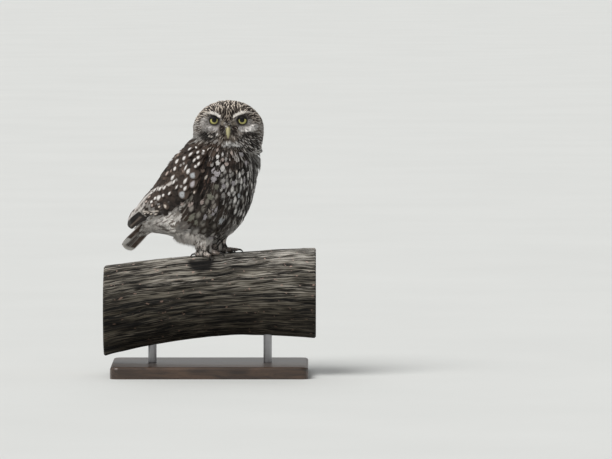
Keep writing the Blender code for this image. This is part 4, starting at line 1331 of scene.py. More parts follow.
def plant_head():
    rows = clear_of_face_parts(head_rows)
    face = disc_share(rows)
    outer = only(rows, face < 0.5)
    crown = smooth(in_head(outer["place"])[2], 150, 165)
    outer = thrown(outer, 2.5 - 0.2 * crown, 1.55)
    crown = smooth(in_head(outer["place"])[2], 150, 165)
    low = smooth(in_head(outer["place"])[2], 142, 130)
    plant("coat_crown", outer, slim_feather(4), 9.0 + 2.0 * low, 1.85 - 0.15 * crown, 0.25, "plumage_brown",
          51, sway=14, tone=0.2)
    inner = thrown(only(rows, face >= 0.5), 1.35, 1.8)
    plant("coat_face", inner, slim_feather(3), 5.4, 0.92, 0.2, "plumage_pale", 52, sway=15, camber=0.1, tone=0.35)


plant_head()

# %% [markdown]
# ## Legs and toes
# A little owl's legs are dressed in short hair-like down, and its toes in sparse bristles.

# %% Plant the legs and toes
small_faces = np.isin(guide_part[guide_corners[:, 0]], (LEG, FOOT)).astype(float)
small_rows = scatter(16000, small_faces, 13)


def plant_legs():
    rows = thrown(only(small_rows, small_rows["part"] == LEG), 1.4)
    plant("down_legs", rows, tuft(6, 3), 7.0, 1.5, 0.6, "leg_down", 61, sway=20, camber=0.2, tone=0.22)
    rows = thrown(only(small_rows, (small_rows["part"] == FOOT) & (small_rows["normal"][:, 2] > -0.1)), 1.25)
    plant("down_toes", rows, tuft(3, 4), 3.0, 0.7, 0.35, "leg_down", 62, sway=16, camber=0.1)


plant_legs()

# %% [markdown]
# ## Marks where the photograph has them
# The white drops on the shoulder are what tells this owl apart. Each named mark is a place in the photograph with
# the size of its drop. On the wing we look for the ring and the angle of the envelope that the camera sees there,
# on the breast a line from the camera meets the guide. A feather is then rooted so that its drop falls on the
# place, and the other side gets its mirror image.

# %% Marks by tone
TONES = {"white": WHITE, "cream": CREAM, "pink": (0.52, 0.43, 0.39), "grey": PALE_GREY, "blue": (0.46, 0.48, 0.5),
         "lilac": (0.5, 0.47, 0.49), "brown": (0.2, 0.15, 0.12), "olive": (0.24, 0.235, 0.19)}
WING_MARKS = {
    # tone: across and down in the photograph, width and length of the drop, all in pixels
    "white": [
        (197.1, 145.7, 2.8, 3.2), (189.7, 149, 2, 5), (197.8, 151.9, 2.2, 4), (191.1, 154.3, 2.3, 6),
        (198.3, 157.1, 2.8, 4), (184.2, 158.1, 3.6, 5), (176.8, 161, 4, 6), (194.7, 160, 1.9, 5),
        (198.8, 163.8, 1.9, 5.5), (195, 166.2, 2.4, 3.2), (185.4, 166.7, 1.6, 7.5), (174.6, 168.4, 3.6, 5.5),
        (188.3, 171.5, 3.6, 6.5), (185.4, 180.8, 2.6, 8), (172.5, 177.2, 3.3, 7), (173.9, 181.5, 2.2, 6.5),
        (176.1, 186.3, 1.4, 5), (185.2, 188.5, 2.6, 6), (169.1, 192.8, 1.9, 4.8), (164.5, 187.2, 2.6, 6),
        (160, 188.6, 3.2, 6), (155, 190, 2.8, 6), (151.5, 193, 2.2, 5), (158.9, 198, 4.6, 7),
        (163, 194.7, 2.4, 4.5), (155.3, 198.5, 2.6, 5), (151.6, 201.4, 2.4, 5), (204.5, 148.3, 2.4, 3),
    ],
    "lilac": [(193.1, 183.9, 4.2, 8)], "blue": [(193.1, 175.8, 5.6, 6.5), (182.1, 194.4, 6.4, 7.5)],
    "pink": [(167, 173.4, 3, 6), (149.4, 196.8, 2.2, 6), (146.5, 201.5, 2, 6), (152.5, 205.2, 2.2, 2.6)],
    "grey": [(180.6, 165.3, 2.6, 3.2), (183.5, 162.9, 2.5, 3), (181.6, 186.3, 2.6, 3), (203.1, 152.8, 2.4, 4)],
    "cream": [
        (194, 192.3, 1.4, 2.6), (165, 206.2, 4, 2), (159.3, 206.8, 1.4, 2.4), (144.8, 213.4, 0.9, 4.4),
        (148.4, 212.9, 0.8, 4.8), (151.8, 214.2, 1, 4.2), (155.9, 213.8, 1.1, 5),
    ],
}
BREAST_MARKS = {
    "white": [
        (217.7, 156.1, 3, 4.2), (222.7, 155.5, 2.2, 3.8), (218.5, 163.5, 3.8, 5.4), (247.6, 173.1, 3, 4),
        (228.6, 193.3, 3, 4), (234.5, 192.5, 2.6, 4), (222.5, 168.5, 4.4, 6), (233.8, 235.1, 4.5, 4),
    ],
    "pink": [(217, 151, 2.2, 2.4), (222.3, 159.9, 2.2, 2.4), (231.6, 152.5, 2.2, 4), (191.6, 202.6, 5, 8),
             (226.5, 164.3, 3.6, 4), (183, 202.6, 4, 6), (201.8, 202.1, 3.6, 5)],
    "grey": [(211.8, 164.7, 3, 3), (229.5, 174.8, 3, 5), (226, 158.8, 2, 4.5), (239.1, 180.7, 3, 5),
             (227, 179, 3.6, 5), (242.5, 172.3, 2.4, 4), (223.5, 179.5, 3.4, 6), (231, 201, 3, 7),
             (243, 206, 2.6, 7), (236, 206, 2.6, 7), (222.5, 196, 3.4, 7)],
    "lilac": [(213.5, 171, 4.2, 5), (218, 173.5, 6.4, 7), (214, 178, 5, 6), (245.9, 162.6, 3.6, 6),
              (243.8, 180.7, 2.8, 6), (224, 186.2, 4, 6), (204.2, 216.2, 3.8, 9), (214.4, 211, 4.6, 12),
              (211.5, 237, 5, 5), (233.2, 184, 3.8, 7), (238.3, 157.6, 4.4, 6.5)],
    "blue": [(238.5, 195, 3, 5), (222, 217, 5.4, 12)],
    "olive": [(209, 196.8, 7, 8), (192, 217, 5.4, 10), (196, 223, 6.4, 8), (216.4, 186.6, 4, 6)],
    "cream": [(205.9, 176.9, 2.6, 5.6), (237, 171.5, 1.8, 2.4)],
    "brown": [(202.5, 170.8, 3.4, 3.6)],
}


for place_name, marks in (("wing", WING_MARKS), ("breast", BREAST_MARKS)):
    print("marks on the", place_name, sum(map(len, marks.values())))

# %% Root a feather for every mark
def photo_ray(x, y):
    """The way from the camera through a pixel of the photograph."""
    across, up = (x - PHOTO_MIDDLE[0]) / FOCAL, (PHOTO_MIDDLE[1] - y) / FOCAL
    return (Vector(CAMERA_AHEAD) + Vector((1, 0, 0)) * across + Vector(CAMERA_OVER) * up).normalized()


def rows_at(points):
    """The guide's facts at given places."""
    found = [guide_surface.find_nearest(p) for p in points]
    face = np.array([f[2] for f in found])
    near = guide_corners[face, 0]
    return {"place": np.array([f[0] for f in found]), "way": face_way[face], "part": guide_part[near],
            "depth": guide_depth[near], "uv": face_uv[face], "s": guide_s[near], "turn": guide_turn[near],
            "normal": unit(face_mean(guide_normals))[face]}


def step_back(places, lengths):
    """Roots from which feathers of these lengths reach the places with their drop."""
    out = []
    for place, length in zip(places, lengths):
        here = Vector(place)
        for _ in range(4):
            here, _, face, _ = guide_surface.find_nearest(here)
            here = here - Vector(face_way[face]) * float(length * DROP_AT / 4 * MM)
        out.append(here)
    return np.array(out)


def table_of(marks):
    """All rows of a mark list with their tones' colours, as one array."""
    return np.array([(*row, *TONES[tone]) for tone, rows in marks.items() for row in rows])


def drop_look(marks, ground, spot=1.0, streak=0.0):
    look = Look(len(marks), ground)
    look.mark = marks[:, 4:7].copy()
    look.spot[:], look.streak[:], look.fringe[:] = spot, streak, 0.1
    return look


def plant_breast_marks():
    marks = table_of(BREAST_MARKS)
    hits = [guide_surface.ray_cast(camera_place, photo_ray(x, y))[0] for x, y in marks[:, :2]]
    marks = marks[[hit is not None for hit in hits]]
    places = np.array([hit for hit in hits if hit is not None])
    forward, left, up = in_body(places)
    twin = left < -12
    places = np.concatenate((places, body_place(forward, -left, up)[twin]))
    marks = np.concatenate((marks, marks[twin]))
    lengths = np.maximum(9.0, 2.1 * marks[:, 3])
    rows = rows_at(step_back(places, lengths))
    rows["part"][:] = TORSO

    def toned(look, points, _, draw):
        for key, value in vars(drop_look(marks, DARK_BROWN, 0.0, 0.86)).items():
            setattr(look, key, value)
        look.mark *= draw.uniform(0.68, 1.0, len(points))[:, None]

    plant("coat_breast_marks", rows, soft_feather(12), lengths, 0.72 * marks[:, 2] + 0.3, 0.95, "plumage_pale", 72,
          sway=5, change=toned)


plant_breast_marks()

# %% [markdown]
# ## Wing and tail feathers
# The long feathers of the folded wing lie in tiers: coverts over secondaries, and the primaries run on to the
# wing's tip. Each tier is a row between two feathers that are named by their root and tip on the wing's envelope.
# A flight feather is a finer grid with a raised shaft and a thickness of its own.

# %% Shape of a flight feather
def flight_feather(across=8, along=14, thick=0.05):
    bm = bmesh.new()
    add_vane(bm, across, along, LONG, crowd=1.25)
    for v in bm.verts:
        v.co.z += 0.07 * math.exp(-((v.co.x / 0.12) ** 2)) * (1 - v.co.y)
    bmesh.ops.solidify(bm, geom=bm.faces, thickness=thick)
    return Shape(bm)


WING_TIERS = [
    # name, count, first and last root, first and last tip (ring, degrees), half-width, root and tip height, step
    ("greater_coverts", 9, ((3.2, 46), (2.8, 90)), ((5.2, 40), (4.6, 83)), 5.2, -2.2, 0.7, 0.0),
    ("secondaries", 10, ((4.0, 22), (3.6, 82)), ((6.4, 17), (5.5, 77)), 5.2, -2.6, 0.5, 0.0),
    ("tertials", 3, ((5.0, 20), (5.0, 44)), ((7.5, 22), (7.3, 48)), 5.4, -2.4, 0.5, 0.0),
    ("primaries", 9, ((5.6, 36), (5.1, 80)), ((7.4, 40), (9.0, 108)), 4.6, -2.8, 0.9, 0.3),
]
print("long feathers on each wing:", sum(tier[1] for tier in WING_TIERS))

# %% Spines on the wing
def wing_spines(side, roots, tips):
    """Spines on the wing's envelope for feathers given by ring and degrees."""
    share = STEPS[None]
    s = np.minimum(roots[:, :1] + (tips - roots)[:, :1] * share, 9)
    turn = roots[:, 1:] + (tips - roots)[:, 1:] * share
    place = wing_place(side, s, turn)
    normal = unit(wing_place(side, s, turn, 1.0) - place)
    flat = np.abs(in_body(place)[1]) <= MIDLINE_CLEARANCE + 0.01
    normal = np.where(flat[..., None], np.array((0, 0, 1.0)), normal)
    way = unit(np.gradient(place, axis=1))
    return place, onto_surface(normal, way), way


def nearest_uv(points):
    return face_uv[np.array([guide_surface.find_nearest(p)[2] for p in points])]


print("every spine has", len(STEPS), "points")

# %% Make the tiers
def flight_look(look, kind, points):
    """Browns and bars of the long feathers, with painted shadow under the greater coverts along the wing's lower edge.
    """
    ones = np.ones(len(look.spot))
    x, y = photo_place(points)
    look.paint(ones, ground=CHOCOLATE, mark=WHITE, streak=0.0, spot=0.0, fringe=0.5)
    if kind == "secondaries":
        look.paint(ones, ground=DARK_BROWN, mark=CREAM, bars=0.45)
    if kind == "primaries":
        look.paint(ones, ground=(0.03, 0.021, 0.017), mark=CREAM, bars=0.6, fringe=0.4)
        look.paint(zone(x, y, 131, 222, 16, 9, -40), bars=0.0, fringe=0.1)
    if kind == "tertials":
        look.paint(ones, fringe=0.9, ground=(0.065, 0.045, 0.035))
    # painted shadow under the greater coverts: dark feathers at the wing's lower edge made darker still
    look.paint(zone(x, y, 175, 204, 15, 4.0, -28), ground=DARK_BROWN, fringe=0.15)
    look.paint(zone(x, y, 161, 208, 15, 5.0, -10), ground=(0.02, 0.014, 0.011), bars=0.25, fringe=0.1)
    look.paint(zone(x, y, 204, 182, 9, 14), ground=DARK_BROWN, fringe=0.1)


def spread(first, last, count):
    share = np.linspace(0, 1, count)[:, None]
    return np.array(first, float) * (1 - share) + np.array(last, float) * share


def make_wing_tiers():
    draw = np.random.default_rng(81)
    shape = flight_feather()
    for name, count, roots, tips, wide, low, high, step in WING_TIERS:
        jitter, widths = draw.normal(0, (0.03, 0.8), (2, count, 2)), wide * draw.uniform(0.92, 1.08, count)
        top = high + draw.normal(0, 0.12, count) - step * np.arange(count)
        groups = []
        for side in (-1, 1):
            spine = wing_spines(side, spread(*roots, count) + jitter[0], spread(*tips, count) + jitter[1])
            groups.append(bend_shapes(shape, spine, widths, low, top, 0.9, -0.55 * side))
        points = np.concatenate(groups)
        look = Look(2 * count)
        flight_look(look, name, points.mean(1))
        look.tip[:] = 0.05 if name == "primaries" else 0.15
        look.ground *= np.tile(draw.normal(1, 0.16, count).clip(0.7, 1.35), 2)[:, None]
        seeds = np.tile(draw.random(count), 2)
        feather_mesh(name, shape, points, look, nearest_uv(points[:, 0]), seeds, "plumage_brown", WING_LANES)


make_wing_tiers()

# %% Plant the marks of the wing
def wing_spots(pixels):
    """Ring and degrees of the near wing where the camera sees each pixel, and how far off the nearest place is."""
    s, turn = (g.ravel() for g in np.meshgrid(np.arange(0.2, 9, 0.03), np.arange(8, 108, 0.8)))
    place = wing_place(-1, s, turn, 0.6)
    facing = np.sum(unit(wing_place(-1, s, turn, 1.6) - place) * unit(np.array(camera_place) - place), 1) > 0.05
    s, turn, place = s[facing], turn[facing], place[facing]
    tree = tree_of(np.stack((*photo_place(place, False), 0 * s), -1))
    found = [tree.find((x, y, 0)) for x, y in pixels]
    pick = np.array([f[1] for f in found])
    return np.stack((s[pick], turn[pick]), -1), np.array([f[2] for f in found])


def plant_wing_marks():
    marks = table_of(WING_MARKS)
    spots, missed = wing_spots(marks[:, :2])
    print("marks off the wing:", [tuple(m[:2]) for m, far in zip(marks, missed) if far > 1.5])
    s, turn = spots.T
    pace = np.linalg.norm(wing_place(-1, s + 0.3, turn) - wing_place(-1, s - 0.3, turn), axis=1) / MM / 0.6
    lengths = np.maximum(8.0, 2.4 * marks[:, 3])
    draw = np.random.default_rng(71)
    reach = (lengths / pace)[:, None] * (1, 0)
    roots = spots - DROP_AT * reach
    roots[:, 0] = np.maximum(roots[:, 0], 0.05)
    tips = spots + (1 - DROP_AT) * reach + draw.normal(0, (0.0, 1.0), spots.shape)
    high = np.interp(s, [0, 4, 4.8, 5.5, 7, 9], [0.9, 1.1, 1.3, 1.2, 1.3, 1.6])
    shape = round_feather(6, 8)
    groups = [bend_shapes(shape, wing_spines(side, roots, tips), 1.15 * marks[:, 2] + 0.6, -1.6, high, 0.5, 0)
              for side in (-1, 1)]
    look = drop_look(np.concatenate((marks, marks)), CHOCOLATE)
    dark = np.tile(s > 4.4, 2)
    look.paint(dark, ground=DARK_BROWN)
    points = np.concatenate(groups)
    seeds = np.tile(draw.random(len(marks)), 2)
    feather_mesh("coat_wing_marks", shape, points, look, nearest_uv(points[:, 0]), seeds, "plumage_brown")


plant_wing_marks()

# %% The tail
TAIL_FEATHERS, TAIL_ROOT, TAIL_LENGTH, TAIL_ROLL = 12, (-69.0, 53.2), 79.0, math.radians(16)
TAIL_START, TAIL_SPREAD, TAIL_ROOT_SPREAD, TAIL_DRIFT = 0.34, 9.0, 5.8, -4.1
TAIL_LEVEL = -math.sin(TAIL_DROP) * AHEAD + math.cos(TAIL_DROP) * UP
TAIL_LEFT = LEFT * math.cos(TAIL_ROLL) - TAIL_LEVEL * math.sin(TAIL_ROLL)
TAIL_UP = TAIL_LEVEL * math.cos(TAIL_ROLL) + LEFT * math.sin(TAIL_ROLL)


def tail_feather(index):
    """Spine of one tail feather; the middle pair lies on top."""
    rank = index - (TAIL_FEATHERS - 1) / 2
    share = rank / ((TAIL_FEATHERS - 1) / 2)
    layer = -1.0 * (abs(rank) - 0.5) + (0.5 if rank > 0 else 0.0) - 1.5
    length = TAIL_LENGTH * (0.91 + 0.095 * share - 0.075 * share * share)
    far = (TAIL_START + (1 - TAIL_START) * STEPS)[:, None]
    left = TAIL_DRIFT + share * (TAIL_ROOT_SPREAD + (TAIL_SPREAD - TAIL_ROOT_SPREAD) * far)
    along = TAIL_DOWN * length * far + TAIL_LEFT * left + TAIL_UP * layer
    place = body_place(TAIL_ROOT[0], 0, TAIL_ROOT[1]) + along * MM
    way = unit(np.gradient(place, axis=0))
    return place, onto_surface(np.tile(TAIL_UP, (len(STEPS), 1)), way), way


def make_tail():
    draw = np.random.default_rng(91)
    shape = flight_feather()
    made = [tail_feather(i) for i in range(TAIL_FEATHERS)]
    spine = [np.array([m[k] for m in made]) for k in range(3)]
    points = bend_shapes(shape, spine, 4.9 * draw.uniform(0.95, 1.05, TAIL_FEATHERS), 0, 0, 0.7, 0.2)
    look = Look(TAIL_FEATHERS, (0.105, 0.07, 0.054), (0.66, 0.56, 0.49))
    look.bars[:] = 0.2
    look.fringe[:] = 1.0
    look.tip[:] = 1.0
    look.ground *= draw.normal(1, 0.12, TAIL_FEATHERS)[:, None]
    seeds = draw.random(TAIL_FEATHERS)
    feather_mesh("tail_feathers", shape, points, look, nearest_uv(points[:, 0]), seeds, "plumage_brown")


make_tail()

# %% [markdown]
# ## Brows, lids and bristles
# The owl's stern look comes from two pale brows that meet in a V over the bill. They are slim feathers laid along
# a curve over each eye. The lids are dark rings that lie on the eyeball and cover the iris's upper edge, and fine
# dark bristles hang round the bill's sides.

# %% The brows
BROWS = {-1: [(8.0, 161.6), (11, 163.7), (15, 166.0), (19.4, 167.4), (23, 167.4), (26, 166.8)],
         1: [(5.0, 161.6), (7.6, 163.8), (10.8, 165.6), (15, 167.3), (19.9, 168.4), (26, 168.8)]}


def face_hit(side, up):
    """The guide's point on the face at a side and height, found from straight ahead."""
    start = head_place(side, 90, up)
    hit = guide_surface.ray_cast(Vector(start), Vector((0, 1, 0)))[0]
    return np.array(hit)


def curve_at(points, share):
    points = np.array(points, float)
    at = share * (len(points) - 1)
    return np.array([np.interp(at, range(len(points)), points[:, k]) for k in range(2)])


def plant_brows():
    """Hair-like feathers along each brow: narrow at the bill, widest over the pupil and fading outwards."""
    draw = np.random.default_rng(101)
    places, ways, heights = [], [], []
    for sign, brow in BROWS.items():
        for row in range(3):
            for k in range(34):
                share = (k + draw.uniform(-0.3, 0.3)) / 34
                side, up = curve_at(brow, np.clip(share, 0, 1))
                ahead_side, ahead_up = curve_at(brow, min(share + 0.08, 1.0)) - curve_at(brow, max(share - 0.02, 0))
                up += (row - 1) * (0.26 + 0.3 * math.sin(math.pi * min(share * 1.2, 1))) + draw.uniform(-0.1, 0.1)
                places.append(face_hit(sign * side, up))
                ways.append((sign * ahead_side, 0.0, ahead_up + 0.14 * (row - 1) * abs(ahead_side)))
                heights.append(0.75 + 0.1 * row)
    places, ways = np.array(places), unit(np.array(ways))
    rows = rows_at(places)
    rows["way"] = onto_surface(ways, rows["normal"])

    def whiten(look, points, _, draw):
        side = in_head(points)[0]
        look.paint(np.ones(len(points)), ground=(0.92, 0.88, 0.82), mark=WARM_GREY, streak=0.0, spot=0.0, fringe=0.0)
        look.paint(draw.random(len(points)) < 0.06, ground=(0.3, 0.26, 0.22))
        look.paint(smooth(np.abs(side), 18, 25) * 0.6, ground=(0.26, 0.22, 0.18))

    plant("brow_feathers", rows, slim_feather(3), 4.8, 0.46, np.array(heights), "plumage_pale", 102, sway=7, camber=0.1,
          lift=-0.1, change=whiten)


plant_brows()

# %% The lids
EYE_RADIUS, LID_DROP = 9.2, 2.7
LID_RINGS = [
    # how much of the lid's drop it takes, radius, height over the eyeball, from the opening outwards
    (1, 5.55, 0.05), (1, 5.45, 0.5), (0.8, 5.75, 0.8), (0.4, 6.15, 0.6), (0.1, 6.6, 0.0), (0, 6.9, -0.9),
]


def eye_centre(name):
    low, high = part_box(name)
    return (low + high) / 2


def on_eyeball(sign, side, up, radius):
    """A point over the eyeball at a side and height off the eye's middle, all in millimetres."""
    ahead = math.sqrt(max(radius * radius - side * side - up * up, 0.0))
    return Vector((sign * side, -ahead, up)) * MM


def bridge(bm, rings):
    for a, b in zip(rings, rings[1:]):
        bmesh.ops.bridge_loops(bm, edges=list(a | b))


def make_lid(sign, name):
    """A ring on the eyeball: a tube's section swept round an opening that is lower at the top."""
    centre = eye_centre(name)
    bm = bmesh.new()
    rings = []
    for share, inner, over in LID_RINGS:
        start = bmesh.ops.create_circle(bm, segments=64, radius=1.0)["verts"]
        for v in start:
            turn = math.atan2(v.co.y, v.co.x)
            high, wide = math.sin(turn), math.cos(turn)
            lowered = LID_DROP * max(high, 0.0) ** 0.8 * (1 - 0.14 * wide) + 0.55 * max(-high, 0.0)
            up = inner * high - math.copysign(share * lowered, high)
            v.co = centre + on_eyeball(sign, inner * wide, up, EYE_RADIUS + over)
        rings.append({e for v in start for e in v.link_edges})
    bridge(bm, rings)
    bmesh.ops.recalc_face_normals(bm, faces=bm.faces)
    return smooth_piece(bm, f"lid_{name}", "plumage_brown")


def lid_finish():
    made, tree = finish("lid_skin", roughness=0.5, specular_ior_level=0.25)
    folds = cloudy(own_place(tree), 1800.0, 4.0)
    colour = mix(folds, (0.004, 0.004, 0.004), (0.018, 0.015, 0.014))
    return feed(made, base_color=colour, normal=bumpy(folds, 0.6, 0.0003))


LID_SKIN = lid_finish()
for sign, name in ((-1, "eye_right"), (1, "eye_left")):
    make_lid(sign, name).data.materials.append(LID_SKIN)

# %% [markdown]
# ## The eyes
# Each eye is a finer ball in the solid eye's place, with a slight bulge over the iris. Its finish is drawn round
# the eye's own axis: a round pupil, yellow fibres that darken towards a black rim, and a clear wet coat. The owl
# looks a little down its bill, so the drawing's middle lies slightly above the ball's.

# %% Make the eyes
IRIS_RADIUS, PUPIL_RADIUS, IRIS_RISE = 5.6, 2.9, 0.8


def make_eye(name):
    centre = eye_centre(name)
    bm = bmesh.new()
    bmesh.ops.create_uvsphere(bm, u_segments=56, v_segments=40, radius=EYE_RADIUS * MM)
    bmesh.ops.rotate(bm, verts=bm.verts, cent=(0, 0, 0), matrix=Matrix.Rotation(math.pi / 2, 3, "X"))
    for v in bm.verts:
        if v.co.y < 0:
            away = math.hypot(v.co.x, v.co.z) / (5.9 * MM)
            v.co.y -= 0.45 * MM * max(0.0, 1 - away * away)
    bmesh.ops.translate(bm, vec=centre, verts=bm.verts)
    bmesh.ops.recalc_face_normals(bm, faces=bm.faces)
    return smooth_piece(bm, f"fine_{name}", "eye_yellow", name), centre


def eye_finish(name, centre):
    made, tree = finish(f"iris_{name}", roughness=0.3, specular_ior_level=0.2, coat_weight=0.35,
                                coat_roughness=0.03)
    own = stretched(own_place(tree), (1000, 1000, 1000), [-1000 * c for c in centre])
    side, ahead, up = parts_of(own)
    up = up - IRIS_RISE
    ray = (side * side + up * up) ** 0.5
    turn = up.math("ARCTAN2", side)
    fibre = cloudy(joined(X=turn * 9, Y=ray * 0.7), 1.6, 5.0, 0.65)
    freckle = cloudy(own, 0.9, 4.0)
    iris = mix(fibre.rise(0.3, 0.72), (0.28, 0.26, 0.07), (0.64, 0.6, 0.23))
    iris = mix(ray.rise(4.2, 5.2), iris, (0.16, 0.17, 0.03))
    # painted shade of the brow: the iris darkens towards its top
    iris = darken(up.rise(0.2, 2.6) * 0.85, iris, (0.14, 0.14, 0.11))
    iris = mix(ray.rise(5.1, 5.6), iris, (0.004, 0.004, 0.004))
    pupil = 1 - (ray + (freckle - 0.5) * 0.12).rise(PUPIL_RADIUS - 0.12, PUPIL_RADIUS + 0.12)
    return feed(made, base_color=mix(pupil.math("MAXIMUM", ahead.rise(-2.0, 0.0)), iris, (0.002, 0.002, 0.002)),
                normal=bumpy(fibre, 0.12, 0.0002))


for name in ("eye_right", "eye_left"):
    eye, centre = make_eye(name)
    eye.data.materials.append(eye_finish(name, centre))
    print("eye at", tuple(round(c, 4) for c in centre), "with an iris", 2 * IRIS_RADIUS, "mm across")

# %% [markdown]
# ## The bill and the bristles round it
# The bill is a hooked tube of oval rings: circles are placed along its curve and bridged. Its finish is horn, pale
# olive along the ridge and dark at the cere, where the nostrils sit.

# %% Make the bill
def face_front():
    return float(-(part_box("bill_upper")[0].y - HEAD_FOOT[1]) / MM) - 7.6


def bill_tube(name, rows, node_name):
    """Oval rings given by forward, up, half-width, half-height and tilt in degrees, bridged and closed."""
    fine = np.array(rows, float)
    steps = np.linspace(0, len(rows) - 1, 5 * len(rows))
    bm = bmesh.new()
    rings = []
    for step in steps:
        ahead, up, wide, high, tilt = ring_at(fine, step)
        made = bmesh.ops.create_circle(bm, segments=28, radius=1.0)["verts"]
        lean = math.radians(tilt)
        for v in made:
            x, z = v.co.x, v.co.y
            ridge = 1 - 0.16 * abs(x) * max(z, 0.0)
            v.co = head_place(wide * x * ridge, ahead + high * z * math.sin(lean), up + high * z * math.cos(lean))
        rings.append({e for v in made for e in v.link_edges})
    bridge(bm, rings)
    bmesh.ops.holes_fill(bm, edges=bm.edges, sides=0)
    bmesh.ops.recalc_face_normals(bm, faces=bm.faces)
    return smooth_piece(bm, name, "bill_horn", node_name)


FRONT = face_front()
BILL_UPPER = [
    (FRONT - 4.0, 150.1, 3.7, 4.5, 0), (FRONT + 0.5, 150.3, 3.5, 4.6, 8), (FRONT + 3.2, 148.9, 3.0, 4.0, 35),
    (FRONT + 4.6, 145.9, 2.45, 3.1, 62), (FRONT + 4.7, 142.5, 1.75, 2.1, 80), (FRONT + 3.9, 139.7, 1.0, 1.15, 95),
    (FRONT + 3.2, 138.3, 0.3, 0.35, 105),
]
BILL_LOWER = [
    (FRONT - 4.5, 143.9, 2.9, 2.4, 0), (FRONT - 0.5, 143.7, 2.7, 2.2, 15), (FRONT + 1.6, 142.5, 1.8, 1.5, 40),
    (FRONT + 2.6, 141.2, 0.7, 0.6, 60),
]


def horn_finish():
    made, tree = finish("bill_horn", roughness=0.38, coat_weight=0.25)
    place = stretched(own_place(tree), (1000, 1000, 1000), [float(-1000 * n) for n in head_place(0, FRONT, 147)])
    side, _, up = parts_of(place)
    growth = cloudy(stretched(place, (1.1, 0.25, 0.12)), 1.2, 4.0)
    colour = mix(growth.rise(0.3, 0.7), (0.3, 0.27, 0.13), (0.5, 0.46, 0.24))
    ridge = (1 - side.math("ABSOLUTE").rise(0.2, 1.7)) * 0.45
    colour = mix(ridge, colour, (0.62, 0.58, 0.36))
    colour = darken(up.rise(3.0, 6.4), colour, (0.1, 0.085, 0.08))
    colour = darken((1 - up.rise(-8.6, -5.0)) * 0.6, colour, (0.4, 0.36, 0.3))
    nostril = (((side.math("ABSOLUTE") - 2.6) / 0.75) ** 2 + ((up - 4.4) / 0.9) ** 2) ** 0.5
    hole = 1 - nostril.rise(0.7, 1.1)
    colour = mix(hole, colour, (0.01, 0.008, 0.007))
    return feed(made, base_color=colour, normal=bumpy(growth * 0.4 - hole * 2.0, 0.4, 0.0004))


BILL_HORN = horn_finish()
for name, rows, node_name in (("hooked_bill", BILL_UPPER, "bill_upper"), ("under_bill", BILL_LOWER, "bill_lower")):
    bill_tube(name, rows, node_name).data.materials.append(BILL_HORN)
print("bill from the front at", round(FRONT, 1), "mm ahead of the head's foot")

# %% The bristles
def plant_bristles():
    """Fine hairs from beside the bill that arch forward and hang past it."""
    draw = np.random.default_rng(111)
    places, sizes, looks = [], [], []
    for sign in (-1, 1):
        for _ in range(60):
            side, up = draw.uniform(3.4, 9.5), draw.uniform(143.0, 153.5)
            places.append((sign, side, up, *face_hit(sign * side, up)))
            sizes.append(draw.uniform(4.5, 8.0) * (1.1 - 0.045 * side))
            looks.append(draw.random())
    places, sizes, looks = np.array(places), np.array(sizes), np.array(looks)
    sign, side, up = places[:, 0], places[:, 1], places[:, 2]
    out = 0.25 + 0.055 * (side - 3)
    first = unit(np.stack((sign * out, np.full(len(sign), -0.85), 0.05 + 0.05 * (up - 147)), -1))
    then = unit(np.stack((sign * (out + 0.25), np.full(len(sign), -0.12), np.full(len(sign), -1.0)), -1))
    way = np.stack([unit(first * (1 - share) + then * share) for share in STEPS], 1)
    spine = grown(places[:, 3:], way, sizes)
    normal = onto_surface(np.tile((0.0, -1.0, 0.4), (*spine.shape[:2], 1)), way)
    shape = slim_feather(4)
    points = bend_shapes(shape, (spine, normal, way), 0.13 + 0.05 * looks, 0, 0, 0, 0)
    look = Look(len(sign), (0.03, 0.02, 0.016), CREAM)
    look.paint((looks > 0.86) | (side > 8.6), ground=(0.4, 0.35, 0.3))
    look.fringe[:] = 0
    feather_mesh("bill_bristles", shape, points, look, nearest_uv(points[:, 0]), looks, "plumage_brown")


plant_bristles()

# %% [markdown]
# ## The claws
# The solid claws already have the right hook, so they stay and only get a finish: dark horn, mottled in colour
# and in roughness.

# %% Finish the claws
def claw_finish():
    made, tree = finish("claw_horn", roughness=0.33, coat_weight=0.2)
    growth = cloudy(own_place(tree), 900.0, 4.0)
    colour = mix(growth.rise(0.35, 0.7), (0.012, 0.011, 0.011), (0.06, 0.052, 0.046))
    return feed(made, base_color=colour, roughness=growth * 0.3 + 0.22, normal=bumpy(growth, 0.25, 0.0003))


def refinish(node_name, material):
    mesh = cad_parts[node_name].data
    mesh.materials.clear()
    mesh.materials.append(material)


CLAW_HORN = claw_finish()
claw_names = [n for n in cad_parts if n.startswith("claw_")]
for name in claw_names:
    refinish(name, CLAW_HORN)
print("claws:", len(claw_names))

# %% [markdown]
# ## The weathered branch
# Bare wood that has stood for years loses its bark and splits along the grain. A fine grid is wrapped round the
# solid branch's own curve, and every point is pushed in or out by long, narrow noise that follows the bend. A
# second map, unrolled along the grain, lets the finish draw the same direction: silvery ridges, dark cracks and
# a few small chips. The finish also paints light: a painted highlight on the top, and painted shade towards the
# underside and in the hollow under the near foot.

# %% Branch surface
BRANCH_LENGTH, BRANCH_RADIUS = 250.0, 49.5
BRANCH_RINGS, BRANCH_SIDES = 300, 264


def branch_radius(x):
    return BRANCH_RADIUS + 4.0 * (x / (0.5 * BRANCH_LENGTH)) ** 2


def branch_middle(x):
    return BRANCH_TOP - BRANCH_RADIUS + 0.085 * x - 0.00045 * x * x


